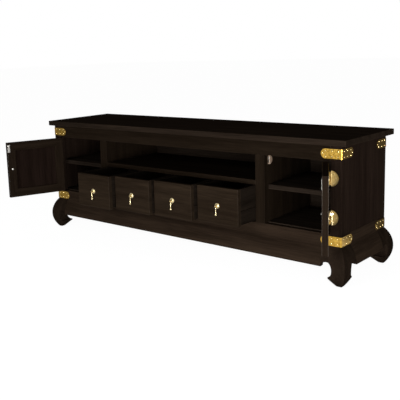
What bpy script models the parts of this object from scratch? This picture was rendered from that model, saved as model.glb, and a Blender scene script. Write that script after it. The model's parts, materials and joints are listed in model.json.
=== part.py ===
"""Low television cabinet in dark lacquered wood with brass fittings, in the East Asian manner.

Metres, +Z up, the front faces -Y. The doors and drawers are modelled standing open.
"""

import math

import bmesh
import bpy
from mathutils import Matrix, Vector

# Carcass and top
CARCASS_WIDTH = 1.750
CARCASS_DEPTH = 0.402
CABINET_HEIGHT = 0.600
TOP_THICKNESS = 0.025
TOP_END_OVERHANG = 0.025
TOP_FRONT_OVERHANG = 0.021
TOP_BACK_OVERHANG = 0.027
TOP_EDGE_ROUND = 0.003
TOP_EDGE_STEPS = 2
SEAT = 0.0003  # gap left between pieces that touch

# Where the middle of the carcass stands, so that the origin is under the middle of the opened cabinet
CARCASS_X = -0.018
CARCASS_Y = 0.135

# Boards of the carcass
FRAME_DEPTH = 0.025  # front rail, stiles and the upper edge of the aprons
RAIL_HEIGHT = 0.0635
STILE_WIDTH = 0.0495
SIDE_THICKNESS = 0.020
BACK_THICKNESS = 0.010
BOTTOM_THICKNESS = 0.012
BOTTOM_STEP = 0.0035  # the bottom board stands this much above the base
DIVIDER_THICKNESS = 0.047
MIDDLE_BAY_WIDTH = 0.9305
SHELF_THICKNESS = 0.020
MIDDLE_SHELF_TOP = 0.3985
SIDE_SHELF_TOP = 0.380
PARTITION_THICKNESS = 0.010

# Base: legs and aprons swell past the carcass in one round curve
BASE_HEIGHT = 0.212
SWELL = 0.031
SWELL_MIDDLE = 0.0765  # height of the widest point
FOOT_TUCK = 0.026  # how far the foot falls back from the widest point
SWELL_STRAP_GAP = 0.003  # from the lower straps down to where the swelling starts
SWELL_STEPS = 10
APRON_BOTTOM = 0.080
LEG_WIDTH = 0.077  # from the carcass face to the joint with the apron
LEG_WALL = 0.045
LEG_POCKET_FLOOR = 0.062
ARCH_CENTRE = 0.050  # in from the carcass face
ARCH_HALF_WIDTH = 0.022
ARCH_MIDDLE = 0.0695
ARCH_TOP = 0.102
ARCH_STEPS = 5
TOE_HEIGHT = 0.037
TOE_TURN = math.radians(85)  # how far the arch's lower curve runs towards the toe
TOE_EDGE = 0.005
PAD_INNER_EDGE = 0.016

# Drawers
DRAWER_COUNT = 4
DRAWER_1_PULLED = 0.205
DRAWER_2_PULLED = 0.1765
DRAWER_3_PULLED = 0.155
DRAWER_4_PULLED = 0.128
DRAWER_GAP = 0.002
DRAWER_DEPTH = 0.355
DRAWER_FRONT_THICKNESS = 0.020
DRAWER_WALL = 0.012
DRAWER_FLOOR_THICKNESS = 0.006
DRAWER_FLOOR_RISE = 0.006
DRAWER_FRONT_DROP = 0.0045  # the front reaches this much below the box
GROOVE_DROP = 0.086  # from the drawer's top edge to the runner groove
GROOVE_HEIGHT = 0.012
GROOVE_DEPTH = 0.005
RUNNER_END_GAP = 0.001
RUNNER_UNDER_GAP = 0.001

# Doors
DOOR_THICKNESS = 0.024
DOOR_GAP = 0.002
DOOR_FREE_GAP = 0.0035  # room for the free edge to swing past the divider
DOOR_SHELF_GAP = 0.002  # between the closed door's stud and the shelf
DOOR_FRAME_WIDTH = 0.045
PANEL_TONGUE_THICKNESS = 0.008
PANEL_TONGUE_DEPTH = 0.008
PANEL_FIELD_RISE = 0.003
PANEL_BEVEL = 0.020
DOOR_OPEN_LEFT = math.radians(110.5)
DOOR_OPEN_RIGHT = math.radians(118.5)
DOOR_PULL_INSET = 0.0225  # from the free edge
DOOR_PULL_RISE = 0.006  # above the middle of the door

# Half-moon hinges
HINGE_RADIUS = 0.032
HINGE_LEAF_THICKNESS = 0.002
HINGE_SPACING = 0.161
KNUCKLE_RADIUS = 0.004
KNUCKLE_REACH = 0.026  # half the length of the whole knuckle
KNUCKLE_MIDDLE = 0.009  # half the length of the door leaf's knuckle
KNUCKLE_GAP = 0.0005
LEAF_CLEARANCE = 0.001  # between a leaf's straight edge and the knuckle
PIN_RADIUS = 0.0018
PIN_CLEARANCE = 0.0003

# Corner straps
STRAP_HEIGHT = 0.040
STRAP_LENGTH = 0.092
STRAP_THICKNESS = 0.0015
UPPER_STRAP_DROP = 0.0335  # from the underside of the top to the strap's middle
LOWER_STRAP_DROP = 0.027  # from the top of the base to the strap's middle
STRAP_END_STEPS = 8

# Drop pulls
ROSETTE_RADIUS = 0.014
ROSETTE_CROWN_RADIUS = 0.007
ROSETTE_EDGE = 0.0015
ROSETTE_RISE = 0.0045
STUD_RADIUS = 0.002
STUD_CLEARANCE = 0.0003
STUD_TAIL = 0.004  # past the inner face
NECK_RADIUS = 0.0032
NECK_LENGTH = 0.0008  # between the rosette and the fork
FORK_BACK = 0.0022  # thickness behind the slot
FORK_HALF_WIDTH = 0.0036
FORK_HALF_HEIGHT = 0.0045
FORK_SLOT_HALF = 0.0015
DROP_PIN_RADIUS = 0.0012
EYE_RADIUS = 0.0038
EYE_CLEARANCE = 0.0007  # between the eye and the bottom of the slot
EYE_HALF_WIDTH = 0.0012
EYE_WALL_OVERLAP = 0.001
DROP_NECK_RADIUS = 0.0012
DROP_NECK_LENGTH = 0.0068
DROP_LENGTH = 0.042
DROP_BULB_RADIUS = 0.0052
DROP_SHOULDER = math.radians(40)  # where the straight taper meets the round bulb
DROP_BULB_STEPS = 5

ROUND_STEPS = 12
SMOOTH_ANGLE = math.radians(35)  # flatter edges than this are shaded round
MERGE = 1e-6
FACING = 0.9  # least share of a face's normal along the way it faces
UNITE = "UNION"
CUT = "DIFFERENCE"
SHARE = "INTERSECT"
CUT_OVER = 0.010  # how far a cutter runs past what it cuts

# Planes that many pieces share
END = CARCASS_WIDTH / 2
FRONT = -CARCASS_DEPTH / 2
BACK = CARCASS_DEPTH / 2
UNDER_TOP = CABINET_HEIGHT - TOP_THICKNESS - SEAT
ON_BASE = BASE_HEIGHT + SEAT
FLOOR_TOP = BASE_HEIGHT + BOTTOM_STEP
ON_FLOOR = FLOOR_TOP + SEAT
RAIL_BOTTOM = CABINET_HEIGHT - TOP_THICKNESS - RAIL_HEIGHT
BEHIND_FRAME = FRONT + FRAME_DEPTH + SEAT
BEFORE_BACK = BACK - BACK_THICKNESS - SEAT
DIVIDER_INNER = MIDDLE_BAY_WIDTH / 2
DIVIDER_OUTER = DIVIDER_INNER + DIVIDER_THICKNESS
STILE_INNER = END - STILE_WIDTH
SIDE_INNER = END - SIDE_THICKNESS
SHELF_UNDER = MIDDLE_SHELF_TOP - SHELF_THICKNESS
UPPER_STRAP_MIDDLE = CABINET_HEIGHT - TOP_THICKNESS - UPPER_STRAP_DROP
LOWER_STRAP_MIDDLE = BASE_HEIGHT - LOWER_STRAP_DROP
SWELL_TOP = LOWER_STRAP_MIDDLE - STRAP_HEIGHT / 2 - SWELL_STRAP_GAP

DRAWER_PULLED = (DRAWER_1_PULLED, DRAWER_2_PULLED, DRAWER_3_PULLED, DRAWER_4_PULLED)
DRAWER_BOTTOM = BASE_HEIGHT + DRAWER_GAP
DRAWER_HEIGHT = SHELF_UNDER - DRAWER_GAP - DRAWER_BOTTOM
DRAWER_TOTAL_GAPS = 2 * DRAWER_COUNT * DRAWER_GAP
DRAWER_TOTAL_PARTITIONS = (DRAWER_COUNT - 1) * PARTITION_THICKNESS
DRAWER_WIDTH = (MIDDLE_BAY_WIDTH - DRAWER_TOTAL_GAPS - DRAWER_TOTAL_PARTITIONS) / DRAWER_COUNT
DRAWER_PITCH = DRAWER_WIDTH + 2 * DRAWER_GAP + PARTITION_THICKNESS
GROOVE_BOTTOM = DRAWER_HEIGHT - GROOVE_DROP - GROOVE_HEIGHT

HINGE_OUT = SEAT + KNUCKLE_RADIUS  # hinge axis in front of the face
HINGE_X = STILE_INNER - DOOR_GAP / 2
HINGE_Y = FRONT - HINGE_OUT
DOOR_BOTTOM = BASE_HEIGHT + DOOR_GAP
DOOR_TOP = RAIL_BOTTOM - DOOR_GAP
DOOR_HEIGHT = DOOR_TOP - DOOR_BOTTOM
DOOR_MIDDLE = (DOOR_TOP + DOOR_BOTTOM) / 2
DOOR_WIDTH = STILE_INNER - DIVIDER_OUTER - DOOR_GAP - DOOR_FREE_GAP
DOOR_NEAR = -DOOR_GAP / 2  # hinge edge, from the hinge axis towards the free edge
DOOR_FAR = DOOR_NEAR - DOOR_WIDTH

FORK_ROOM = EYE_RADIUS + EYE_CLEARANCE  # between the drop's pin and the bottom of the slot
PULL_REACH = ROSETTE_RISE + NECK_LENGTH + FORK_BACK + FORK_ROOM  # from the face to the drop's pin


def to_mesh(shape):
    """Turns a bmesh into mesh data and frees it."""
    bmesh.ops.recalc_face_normals(shape, faces=shape.faces)
    mesh = bpy.data.meshes.new("shape")
    shape.to_mesh(mesh)
    shape.free()
    return mesh


def block(low, high):
    """A rectangular solid between two corners."""
    low = Vector(low)
    high = Vector(high)
    shape = bmesh.new()
    bmesh.ops.create_cube(shape, size=1.0)
    bmesh.ops.scale(shape, vec=high - low, verts=shape.verts)
    bmesh.ops.translate(shape, vec=(low + high) / 2, verts=shape.verts)
    return to_mesh(shape)


def prism(outline, axis, low, high):
    """A straight solid along one axis; the outline's coordinates are the other two axes in XYZ order."""
    shape = bmesh.new()
    corners = []
    for point in outline:
        place = list(point)
        place.insert(axis, low)
        corners.append(shape.verts.new(place))
    base = shape.faces.new(corners)
    grown = bmesh.ops.extrude_face_region(shape, geom=[base])
    lifted = [item for item in grown["geom"] if isinstance(item, bmesh.types.BMVert)]
    rise = Vector()
    rise[axis] = high - low
    bmesh.ops.translate(shape, vec=rise, verts=lifted)
    return to_mesh(shape)


def turned(profile, axis, steps=ROUND_STEPS):
    """A turned solid; the profile lists (distance along the axis, radius) and ends on the axis."""
    shape = bmesh.new()
    corners = []
    for along, radius in profile:
        place = Vector()
        place[axis] = along
        place[(axis + 1) % 3] = radius
        corners.append(shape.verts.new(place))
    edges = [shape.edges.new(pair) for pair in zip(corners, corners[1:])]
    around = Vector()
    around[axis] = 1
    full_turn = 2 * math.pi
    line = corners + edges
    bmesh.ops.spin(shape, geom=line, axis=around, angle=full_turn, steps=steps, use_merge=True)
    bmesh.ops.remove_doubles(shape, verts=shape.verts, dist=MERGE)
    return to_mesh(shape)


def rod(axis, low, high, radius, steps=ROUND_STEPS):
    """A plain round rod along one axis."""
    return turned([(low, 0), (low, radius), (high, radius), (high, 0)], axis, steps)


def moved(mesh, offset):
    """The same mesh, shifted."""
    mesh.transform(Matrix.Translation(offset))
    return mesh


def mirrored(mesh, x=1, y=1):
    """A copy of a mesh, turned over in X or Y or both."""
    copy = mesh.copy()
    copy.transform(Matrix.Diagonal((x, y, 1, 1)))
    if x * y < 0:
        copy.flip_normals()
    return copy


def combine(first, second, operation):
    """Joins, cuts or intersects two closed meshes."""
    body = bpy.data.objects.new("body", first)
    tool = bpy.data.objects.new("tool", second)
    for piece in (body, tool):
        bpy.context.scene.collection.objects.link(piece)
    change = body.modifiers.new("combine", "BOOLEAN")
    change.operation = operation
    change.object = tool
    depsgraph = bpy.context.evaluated_depsgraph_get()
    result = bpy.data.meshes.new_from_object(body.evaluated_get(depsgraph))
    for piece in (body, tool):
        bpy.data.objects.remove(piece)
    return result


def curve(centre, half_width, half_height, start, end, steps):
    """Points along part of an ellipse, both ends included."""
    points = []
    for step in range(steps + 1):
        turn = start + (end - start) * step / steps
        points.append((centre[0] + half_width * math.cos(turn), centre[1] + half_height * math.sin(turn)))
    return points


def finish(name, colour, roughness, metallic):
    """A plain surface finish."""
    material = bpy.data.materials.new(name)
    material.use_nodes = True
    surface = material.node_tree.nodes["Principled BSDF"]
    surface.inputs["Base Color"].default_value = (*colour, 1)
    surface.inputs["Roughness"].default_value = roughness
    surface.inputs["Metallic"].default_value = metallic
    return material


def add(name, mesh, material, parent, location=(0, 0, 0), smooth=False):
    """Puts a named piece into the scene."""
    if not mesh.materials:
        mesh.materials.append(material)
    if smooth:
        mesh.shade_smooth()
        mesh.set_sharp_from_angle(angle=SMOOTH_ANGLE)
    piece = bpy.data.objects.new(name, mesh)
    piece.parent = parent
    piece.location = location
    bpy.context.scene.collection.objects.link(piece)
    return piece


def add_empty(name, parent, location, turn=0.0):
    """Puts an axis or a reference point into the scene."""
    point = bpy.data.objects.new(name, None)
    point.parent = parent
    point.location = location
    point.rotation_euler.z = turn
    bpy.context.scene.collection.objects.link(point)
    return point


def add_board(name, low, high, material, parent):
    """A rectangular board between two corners, with its origin in its middle."""
    low = Vector(low)
    high = Vector(high)
    half = (high - low) / 2
    return add(name, block(-half, half), material, parent, (low + high) / 2)


def build_top(wood, cabinet):
    """The overhanging top panel with its rounded edges."""
    low = (-END - TOP_END_OVERHANG, FRONT - TOP_FRONT_OVERHANG, CABINET_HEIGHT - TOP_THICKNESS)
    high = (END + TOP_END_OVERHANG, BACK + TOP_BACK_OVERHANG, CABINET_HEIGHT)
    panel = add_board("top_panel", low, high, wood, cabinet)
    rounding = panel.modifiers.new("rounded_edges", "BEVEL")
    rounding.width = TOP_EDGE_ROUND
    rounding.segments = TOP_EDGE_STEPS


def upright_outline():
    """Side view of a divider, which stands on the base in front and on the bottom board behind."""
    return [
        (FRONT, ON_BASE),
        (BEHIND_FRAME - SEAT, ON_BASE),
        (BEHIND_FRAME - SEAT, ON_FLOOR),
        (BEFORE_BACK, ON_FLOOR),
        (BEFORE_BACK, UNDER_TOP),
        (BEHIND_FRAME, UNDER_TOP),
        (BEHIND_FRAME, RAIL_BOTTOM - SEAT),
        (FRONT, RAIL_BOTTOM - SEAT),
    ]


def partition_outline():
    """Side view of a partition between two drawers."""
    return [
        (FRONT, ON_BASE),
        (BEHIND_FRAME - SEAT, ON_BASE),
        (BEHIND_FRAME - SEAT, ON_FLOOR),
        (BEFORE_BACK, ON_FLOOR),
        (BEFORE_BACK, SHELF_UNDER - SEAT),
        (FRONT, SHELF_UNDER - SEAT),
    ]


def runner(face, side):
    """A drawer runner planted on an upright's face at x = face, pointing towards side."""
    reach = side * (DRAWER_GAP + GROOVE_DEPTH - RUNNER_END_GAP)
    root = -side * RUNNER_END_GAP
    bottom = DRAWER_BOTTOM + GROOVE_BOTTOM
    low = (face + min(reach, root), FRONT + DRAWER_FRONT_THICKNESS + DRAWER_GAP, bottom + RUNNER_UNDER_GAP)
    high = (face + max(reach, root), BEFORE_BACK - SEAT, bottom + GROOVE_HEIGHT - SEAT)
    return block(low, high)


def build_uprights(wood, cabinet):
    """The two dividers and the partitions between the drawers, with their runners."""
    half = DIVIDER_THICKNESS / 2
    for name, side in (("left", -1), ("right", 1)):
        panel = prism(upright_outline(), 0, -half, half)
        panel = combine(panel, runner(-side * half, -side), UNITE)
        middle = side * (DIVIDER_INNER + half)
        add(f"divider_{name}", panel, wood, cabinet, (middle, 0, 0))
    half = PARTITION_THICKNESS / 2
    for index in range(1, DRAWER_COUNT):
        panel = prism(partition_outline(), 0, -half, half)
        for side in (-1, 1):
            panel = combine(panel, runner(side * half, side), UNITE)
        middle = (index - DRAWER_COUNT / 2) * DRAWER_PITCH
        add(f"drawer_partition_{index}", panel, wood, cabinet, (middle, 0, 0))


def build_carcass(wood, inner_wood, cabinet):
    """The boards of the case between the base and the top."""
    rail_end = STILE_INNER - SEAT
    rail_low = (-rail_end, FRONT, RAIL_BOTTOM)
    add_board("front_top_rail", rail_low, (rail_end, BEHIND_FRAME - SEAT, UNDER_TOP), wood, cabinet)
    floor_end = END - FRAME_DEPTH - SEAT
    floor_low = (-floor_end, BEHIND_FRAME, FLOOR_TOP - BOTTOM_THICKNESS)
    add_board("bottom_board", floor_low, (floor_end, -BEHIND_FRAME, FLOOR_TOP), inner_wood, cabinet)
    back_end = SIDE_INNER - SEAT
    back_low = (-back_end, BACK - BACK_THICKNESS, ON_BASE)
    add_board("back_panel", back_low, (back_end, BACK, UNDER_TOP), inner_wood, cabinet)
    shelf_end = DIVIDER_INNER - SEAT
    shelf_low = (-shelf_end, FRONT, SHELF_UNDER)
    add_board("middle_shelf", shelf_low, (shelf_end, BEFORE_BACK, MIDDLE_SHELF_TOP), wood, cabinet)
    for name, side in (("left", -1), ("right", 1)):
        stile = sorted((side * STILE_INNER, side * END))
        stile_low = (stile[0], FRONT, ON_BASE)
        stile_high = (stile[1], BEHIND_FRAME - SEAT, UNDER_TOP)
        add_board(f"corner_stile_{name}", stile_low, stile_high, wood, cabinet)
        panel = sorted((side * SIDE_INNER, side * END))
        panel_low = (panel[0], BEHIND_FRAME, ON_BASE)
        add_board(f"side_panel_{name}", panel_low, (panel[1], BACK, UNDER_TOP), wood, cabinet)
        shelf = sorted((side * (DIVIDER_OUTER + SEAT), side * (SIDE_INNER - SEAT)))
        shelf_front = FRONT + DOOR_THICKNESS + STUD_TAIL + DOOR_SHELF_GAP
        shelf_low = (shelf[0], shelf_front, SIDE_SHELF_TOP - SHELF_THICKNESS)
        shelf_high = (shelf[1], BEFORE_BACK, SIDE_SHELF_TOP)
        add_board(f"side_shelf_{name}", shelf_low, shelf_high, inner_wood, cabinet)


def swell(height):
    """How far the base stands out past the carcass at a height above the floor."""
    if height >= SWELL_TOP:
        return 0.0
    if height >= SWELL_MIDDLE:
        fall = SWELL
        reach = SWELL_TOP - SWELL_MIDDLE
    else:
        fall = FOOT_TUCK
        reach = SWELL_MIDDLE
    radius = (fall**2 + reach**2) / (2 * fall)
    return SWELL - radius + math.sqrt(radius**2 - (height - SWELL_MIDDLE) ** 2)


def swelling(bottom):
    """The base's outer line from the carcass down to a height."""
    heights = [SWELL_TOP + (bottom - SWELL_TOP) * step / SWELL_STEPS for step in range(SWELL_STEPS + 1)]
    return [(-swell(height), height) for height in heights]


def leg_outline():
    """A leg seen square on: swelling outside, bracket and arch inside, toe, sole and floor pad."""
    quarter = math.pi / 2
    outer = [(0.0, BASE_HEIGHT)] + swelling(0.0)
    sole = [(PAD_INNER_EDGE, 0.0)]
    cusp_width = LEG_WIDTH - ARCH_CENTRE
    cusp_rise = ARCH_TOP - APRON_BOTTOM
    cusp = curve((ARCH_CENTRE, APRON_BOTTOM), cusp_width, cusp_rise, 0, quarter, ARCH_STEPS)
    centre = (ARCH_CENTRE, ARCH_MIDDLE)
    ankle = curve(centre, ARCH_HALF_WIDTH, ARCH_TOP - ARCH_MIDDLE, quarter, 2 * quarter, ARCH_STEPS)
    toe_end = 2 * quarter + TOE_TURN
    toe = curve(centre, ARCH_HALF_WIDTH, ARCH_MIDDLE - TOE_HEIGHT, 2 * quarter, toe_end, ARCH_STEPS)
    toe_tip = (toe[-1][0], toe[-1][1] - TOE_EDGE)
    inner = [(LEG_WIDTH, BASE_HEIGHT)] + cusp + ankle[1:] + toe[1:] + [toe_tip]
    return outer + sole + inner[::-1]


def build_legs(wood, cabinet):
    """Four legs sawn to one outline on both faces, hollowed inside and rebated for the bottom board."""
    outline = leg_outline()
    reach = LEG_WIDTH + CUT_OVER
    leg = combine(prism(outline, 1, -reach, reach), prism(outline, 0, -reach, reach), SHARE)
    top = BASE_HEIGHT + CUT_OVER
    leg = combine(leg, block((LEG_WALL, LEG_WALL, LEG_POCKET_FLOOR), (reach, reach, top)), CUT)
    seat = FLOOR_TOP - BOTTOM_THICKNESS - SEAT
    leg = combine(leg, block((FRAME_DEPTH, FRAME_DEPTH, seat), (reach, reach, top)), CUT)
    for depth_name, y, flip_y in (("front", FRONT, 1), ("back", BACK, -1)):
        for side_name, x, flip_x in (("left", -END, 1), ("right", END, -1)):
            shape = mirrored(leg, flip_x, flip_y)
            add(f"leg_{depth_name}_{side_name}", shape, wood, cabinet, (x, y, 0), smooth=True)


def build_aprons(wood, cabinet):
    """Four swelling aprons between the legs, each a board of even thickness."""
    outer = [(0.0, BASE_HEIGHT)] + swelling(APRON_BOTTOM)
    inner = [(out + FRAME_DEPTH, height) for out, height in outer]
    outline = outer + inner[::-1]
    across = CARCASS_WIDTH / 2 - LEG_WIDTH - SEAT
    along = CARCASS_DEPTH / 2 - LEG_WIDTH - SEAT
    places = (
        ("front", across, (0, FRONT, 0), 0),
        ("back", across, (0, BACK, 0), math.pi),
        ("left", along, (-END, 0, 0), -math.pi / 2),
        ("right", along, (END, 0, 0), math.pi / 2),
    )
    for name, half, location, turn in places:
        piece = add(f"apron_{name}", prism(outline, 0, -half, half), wood, cabinet, location, smooth=True)
        piece.rotation_euler.z = turn


def build_straps(brass, cabinet):
    """Eight corner straps: two round-ended plates that meet at the corner, above and below the doors."""
    half = STRAP_HEIGHT / 2
    corner = -SEAT - STRAP_THICKNESS
    quarter = math.pi / 2
    end = curve((STRAP_LENGTH - half, 0), half, half, -quarter, quarter, STRAP_END_STEPS)
    outline = [(corner, -half)] + end + [(corner, half)]
    strap = combine(prism(outline, 1, corner, -SEAT), prism(outline, 0, corner, -SEAT), UNITE)
    for level, height in (("upper", UPPER_STRAP_MIDDLE), ("lower", LOWER_STRAP_MIDDLE)):
        for depth_name, y, flip_y in (("front", FRONT, 1), ("back", BACK, -1)):
            for side_name, x, flip_x in (("left", -END, 1), ("right", END, -1)):
                name = f"strap_{level}_{depth_name}_{side_name}"
                add(name, mirrored(strap, flip_x, flip_y), brass, cabinet, (x, y, height), smooth=True)


def pull_mesh(thickness):
    """A pull for a front of this thickness: stud, rosette, neck, fork and the drop's pin."""
    fork_front = -PULL_REACH - FORK_HALF_HEIGHT
    slot_back = -PULL_REACH + FORK_ROOM
    fork_back = slot_back + FORK_BACK
    neck_end = (fork_back + slot_back) / 2
    profile = [
        (thickness + STUD_TAIL, 0),
        (thickness + STUD_TAIL, STUD_RADIUS),
        (-SEAT, STUD_RADIUS),
        (-SEAT, ROSETTE_RADIUS),
        (-SEAT - ROSETTE_EDGE, ROSETTE_RADIUS),
        (-ROSETTE_RISE, ROSETTE_CROWN_RADIUS),
        (-ROSETTE_RISE, NECK_RADIUS),
        (neck_end, NECK_RADIUS),
        (neck_end, 0),
    ]
    fork = [
        (-FORK_HALF_WIDTH, fork_back),
        (FORK_HALF_WIDTH, fork_back),
        (FORK_HALF_WIDTH, fork_front),
        (FORK_SLOT_HALF, fork_front),
        (FORK_SLOT_HALF, slot_back),
        (-FORK_SLOT_HALF, slot_back),
        (-FORK_SLOT_HALF, fork_front),
        (-FORK_HALF_WIDTH, fork_front),
    ]
    pull = combine(turned(profile, 1), prism(fork, 2, -FORK_HALF_HEIGHT, FORK_HALF_HEIGHT), UNITE)
    pin_end = (FORK_SLOT_HALF + FORK_HALF_WIDTH) / 2
    pin = moved(rod(0, -pin_end, pin_end, DROP_PIN_RADIUS), (0, -PULL_REACH, 0))
    return combine(pull, pin, UNITE)


def drop_mesh():
    """A hanging drop with its eye around the origin."""
    top = -EYE_RADIUS + EYE_WALL_OVERLAP
    neck = [(top, 0), (top, DROP_NECK_RADIUS), (-DROP_NECK_LENGTH, DROP_NECK_RADIUS)]
    centre = (-DROP_LENGTH + DROP_BULB_RADIUS, 0)
    shoulder = math.pi / 2 - DROP_SHOULDER
    bulb = curve(centre, DROP_BULB_RADIUS, DROP_BULB_RADIUS, shoulder, math.pi, DROP_BULB_STEPS)
    profile = neck + bulb
    eye = rod(0, -EYE_HALF_WIDTH, EYE_HALF_WIDTH, EYE_RADIUS)
    hole = rod(0, -CUT_OVER, CUT_OVER, DROP_PIN_RADIUS + PIN_CLEARANCE)
    return combine(combine(eye, turned(profile, 2), UNITE), hole, CUT)


def add_pull(prefix, suffix, pull, drop, brass, parent, place):
    """A pull on a face at place, with its drop hanging from the fork."""
    add(f"{prefix}_pull_{suffix}", pull, brass, parent, place, smooth=True)
    pin = Vector(place) + Vector((0, -PULL_REACH, 0))
    add(f"{prefix}_drop_{suffix}", drop, brass, parent, pin, smooth=True)


def drawer_mesh():
    """An open box with a taller front, a raised floor, runner grooves and a hole for the pull's stud."""
    half = DRAWER_WIDTH / 2
    inside = half - DRAWER_WALL
    back = DRAWER_DEPTH - DRAWER_WALL
    front = DRAWER_FRONT_THICKNESS
    side_view = [
        (0, 0),
        (front, 0),
        (front, DRAWER_FRONT_DROP),
        (DRAWER_DEPTH, DRAWER_FRONT_DROP),
        (DRAWER_DEPTH, DRAWER_HEIGHT),
        (0, DRAWER_HEIGHT),
    ]
    box = prism(side_view, 0, -half, half)
    floor_under = DRAWER_FRONT_DROP + DRAWER_FLOOR_RISE
    floor_top = floor_under + DRAWER_FLOOR_THICKNESS
    box = combine(box, block((-inside, front, floor_top), (inside, back, DRAWER_HEIGHT + CUT_OVER)), CUT)
    box = combine(box, block((-inside, front, -CUT_OVER), (inside, back, floor_under)), CUT)
    for side in (-1, 1):
        across = sorted((side * (half - GROOVE_DEPTH), side * (half + CUT_OVER)))
        low = (across[0], front, GROOVE_BOTTOM)
        high = (across[1], DRAWER_DEPTH + CUT_OVER, GROOVE_BOTTOM + GROOVE_HEIGHT)
        box = combine(box, block(low, high), CUT)
    hole = rod(1, -CUT_OVER, front + CUT_OVER, STUD_RADIUS + STUD_CLEARANCE)
    return combine(box, moved(hole, (0, 0, DRAWER_HEIGHT / 2)), CUT)


def build_drawers(wood, brass, cabinet, drop):
    """Four drawers on their runners, each pulled out by its own distance."""
    box = drawer_mesh()
    pull = pull_mesh(DRAWER_FRONT_THICKNESS)
    for index, pulled in enumerate(DRAWER_PULLED):
        number = index + 1
        middle = (index - (DRAWER_COUNT - 1) / 2) * DRAWER_PITCH
        place = add_empty(f"drawer_{number}_slide", cabinet, (middle, FRONT - pulled, DRAWER_BOTTOM))
        add(f"drawer_{number}", box, wood, place)
        add_pull("drawer", number, pull, drop, brass, place, (0, 0, DRAWER_HEIGHT / 2))


def door_frame_mesh():
    """A door's frame as it hangs when closed, grooved for the panel and bored for the pull."""
    face = HINGE_OUT
    back = face + DOOR_THICKNESS
    half = DOOR_HEIGHT / 2
    frame = block((DOOR_FAR, face, -half), (DOOR_NEAR, back, half))
    near = DOOR_NEAR - DOOR_FRAME_WIDTH
    far = DOOR_FAR + DOOR_FRAME_WIDTH
    sight = half - DOOR_FRAME_WIDTH
    frame = combine(frame, block((far, face - CUT_OVER, -sight), (near, back + CUT_OVER, sight)), CUT)
    middle = (face + back) / 2
    deep = PANEL_TONGUE_DEPTH
    slot = PANEL_TONGUE_THICKNESS / 2 + SEAT
    groove = block((far - deep, middle - slot, -sight - deep), (near + deep, middle + slot, sight + deep))
    frame = combine(frame, groove, CUT)
    hole = rod(1, face - CUT_OVER, back + CUT_OVER, STUD_RADIUS + STUD_CLEARANCE)
    return combine(frame, moved(hole, (DOOR_FAR + DOOR_PULL_INSET, 0, DOOR_PULL_RISE)), CUT)


def door_panel_mesh():
    """A door's panel: a tongue all round, with a bevelled field standing up on both faces."""
    grow = PANEL_TONGUE_DEPTH - SEAT
    far = DOOR_FAR + DOOR_FRAME_WIDTH - grow
    near = DOOR_NEAR - DOOR_FRAME_WIDTH + grow
    half = DOOR_HEIGHT / 2 - DOOR_FRAME_WIDTH + grow
    middle = HINGE_OUT + DOOR_THICKNESS / 2
    tongue = PANEL_TONGUE_THICKNESS / 2
    shape = bmesh.new()
    bmesh.ops.create_cube(shape, size=1.0)
    bmesh.ops.scale(shape, vec=(near - far, 2 * tongue, 2 * half), verts=shape.verts)
    bmesh.ops.translate(shape, vec=((far + near) / 2, middle, 0), verts=shape.verts)
    shape.normal_update()
    faces = [face for face in shape.faces if abs(face.normal.y) > FACING]
    for face in faces:
        outward = face.normal.copy()
        for border in (grow + SEAT, PANEL_BEVEL):
            inset = {"thickness": border, "use_boundary": True, "use_even_offset": True}
            bmesh.ops.inset_region(shape, faces=[face], **inset)
        bmesh.ops.translate(shape, vec=outward * PANEL_FIELD_RISE, verts=face.verts)
    return to_mesh(shape)


def leaf_plate(tabs):
    """A half-moon plate beside the hinge axis, with tabs that reach the axis at the given heights."""
    edge = KNUCKLE_RADIUS + LEAF_CLEARANCE
    quarter = math.pi / 2
    outline = curve((edge, 0), HINGE_RADIUS, HINGE_RADIUS, -quarter, quarter, ROUND_STEPS)
    for low, high in tabs:
        outline += [(edge, high), (0, high), (0, low), (edge, low)]
    back = HINGE_OUT - SEAT
    return prism(outline, 1, back - HINGE_LEAF_THICKNESS, back)


def fixed_leaf_mesh():
    """The stile's half of a right-hand hinge: plate, outer knuckles and the pin."""
    inner = KNUCKLE_MIDDLE + KNUCKLE_GAP
    leaf = leaf_plate([(inner, KNUCKLE_REACH), (-KNUCKLE_REACH, -inner)])
    for low, high in ((-KNUCKLE_REACH, -inner), (inner, KNUCKLE_REACH)):
        leaf = combine(leaf, rod(2, low, high, KNUCKLE_RADIUS), UNITE)
    pin_end = (inner + KNUCKLE_REACH) / 2
    return combine(leaf, rod(2, -pin_end, pin_end, PIN_RADIUS), UNITE)


def door_leaf_mesh():
    """The door's half of a right-hand hinge: plate and the middle knuckle, bored for the pin."""
    leaf = mirrored(leaf_plate([(-KNUCKLE_MIDDLE, KNUCKLE_MIDDLE)]), -1)
    leaf = combine(leaf, rod(2, -KNUCKLE_MIDDLE, KNUCKLE_MIDDLE, KNUCKLE_RADIUS), UNITE)
    return combine(leaf, rod(2, -CUT_OVER, CUT_OVER, PIN_RADIUS + PIN_CLEARANCE), CUT)


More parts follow.
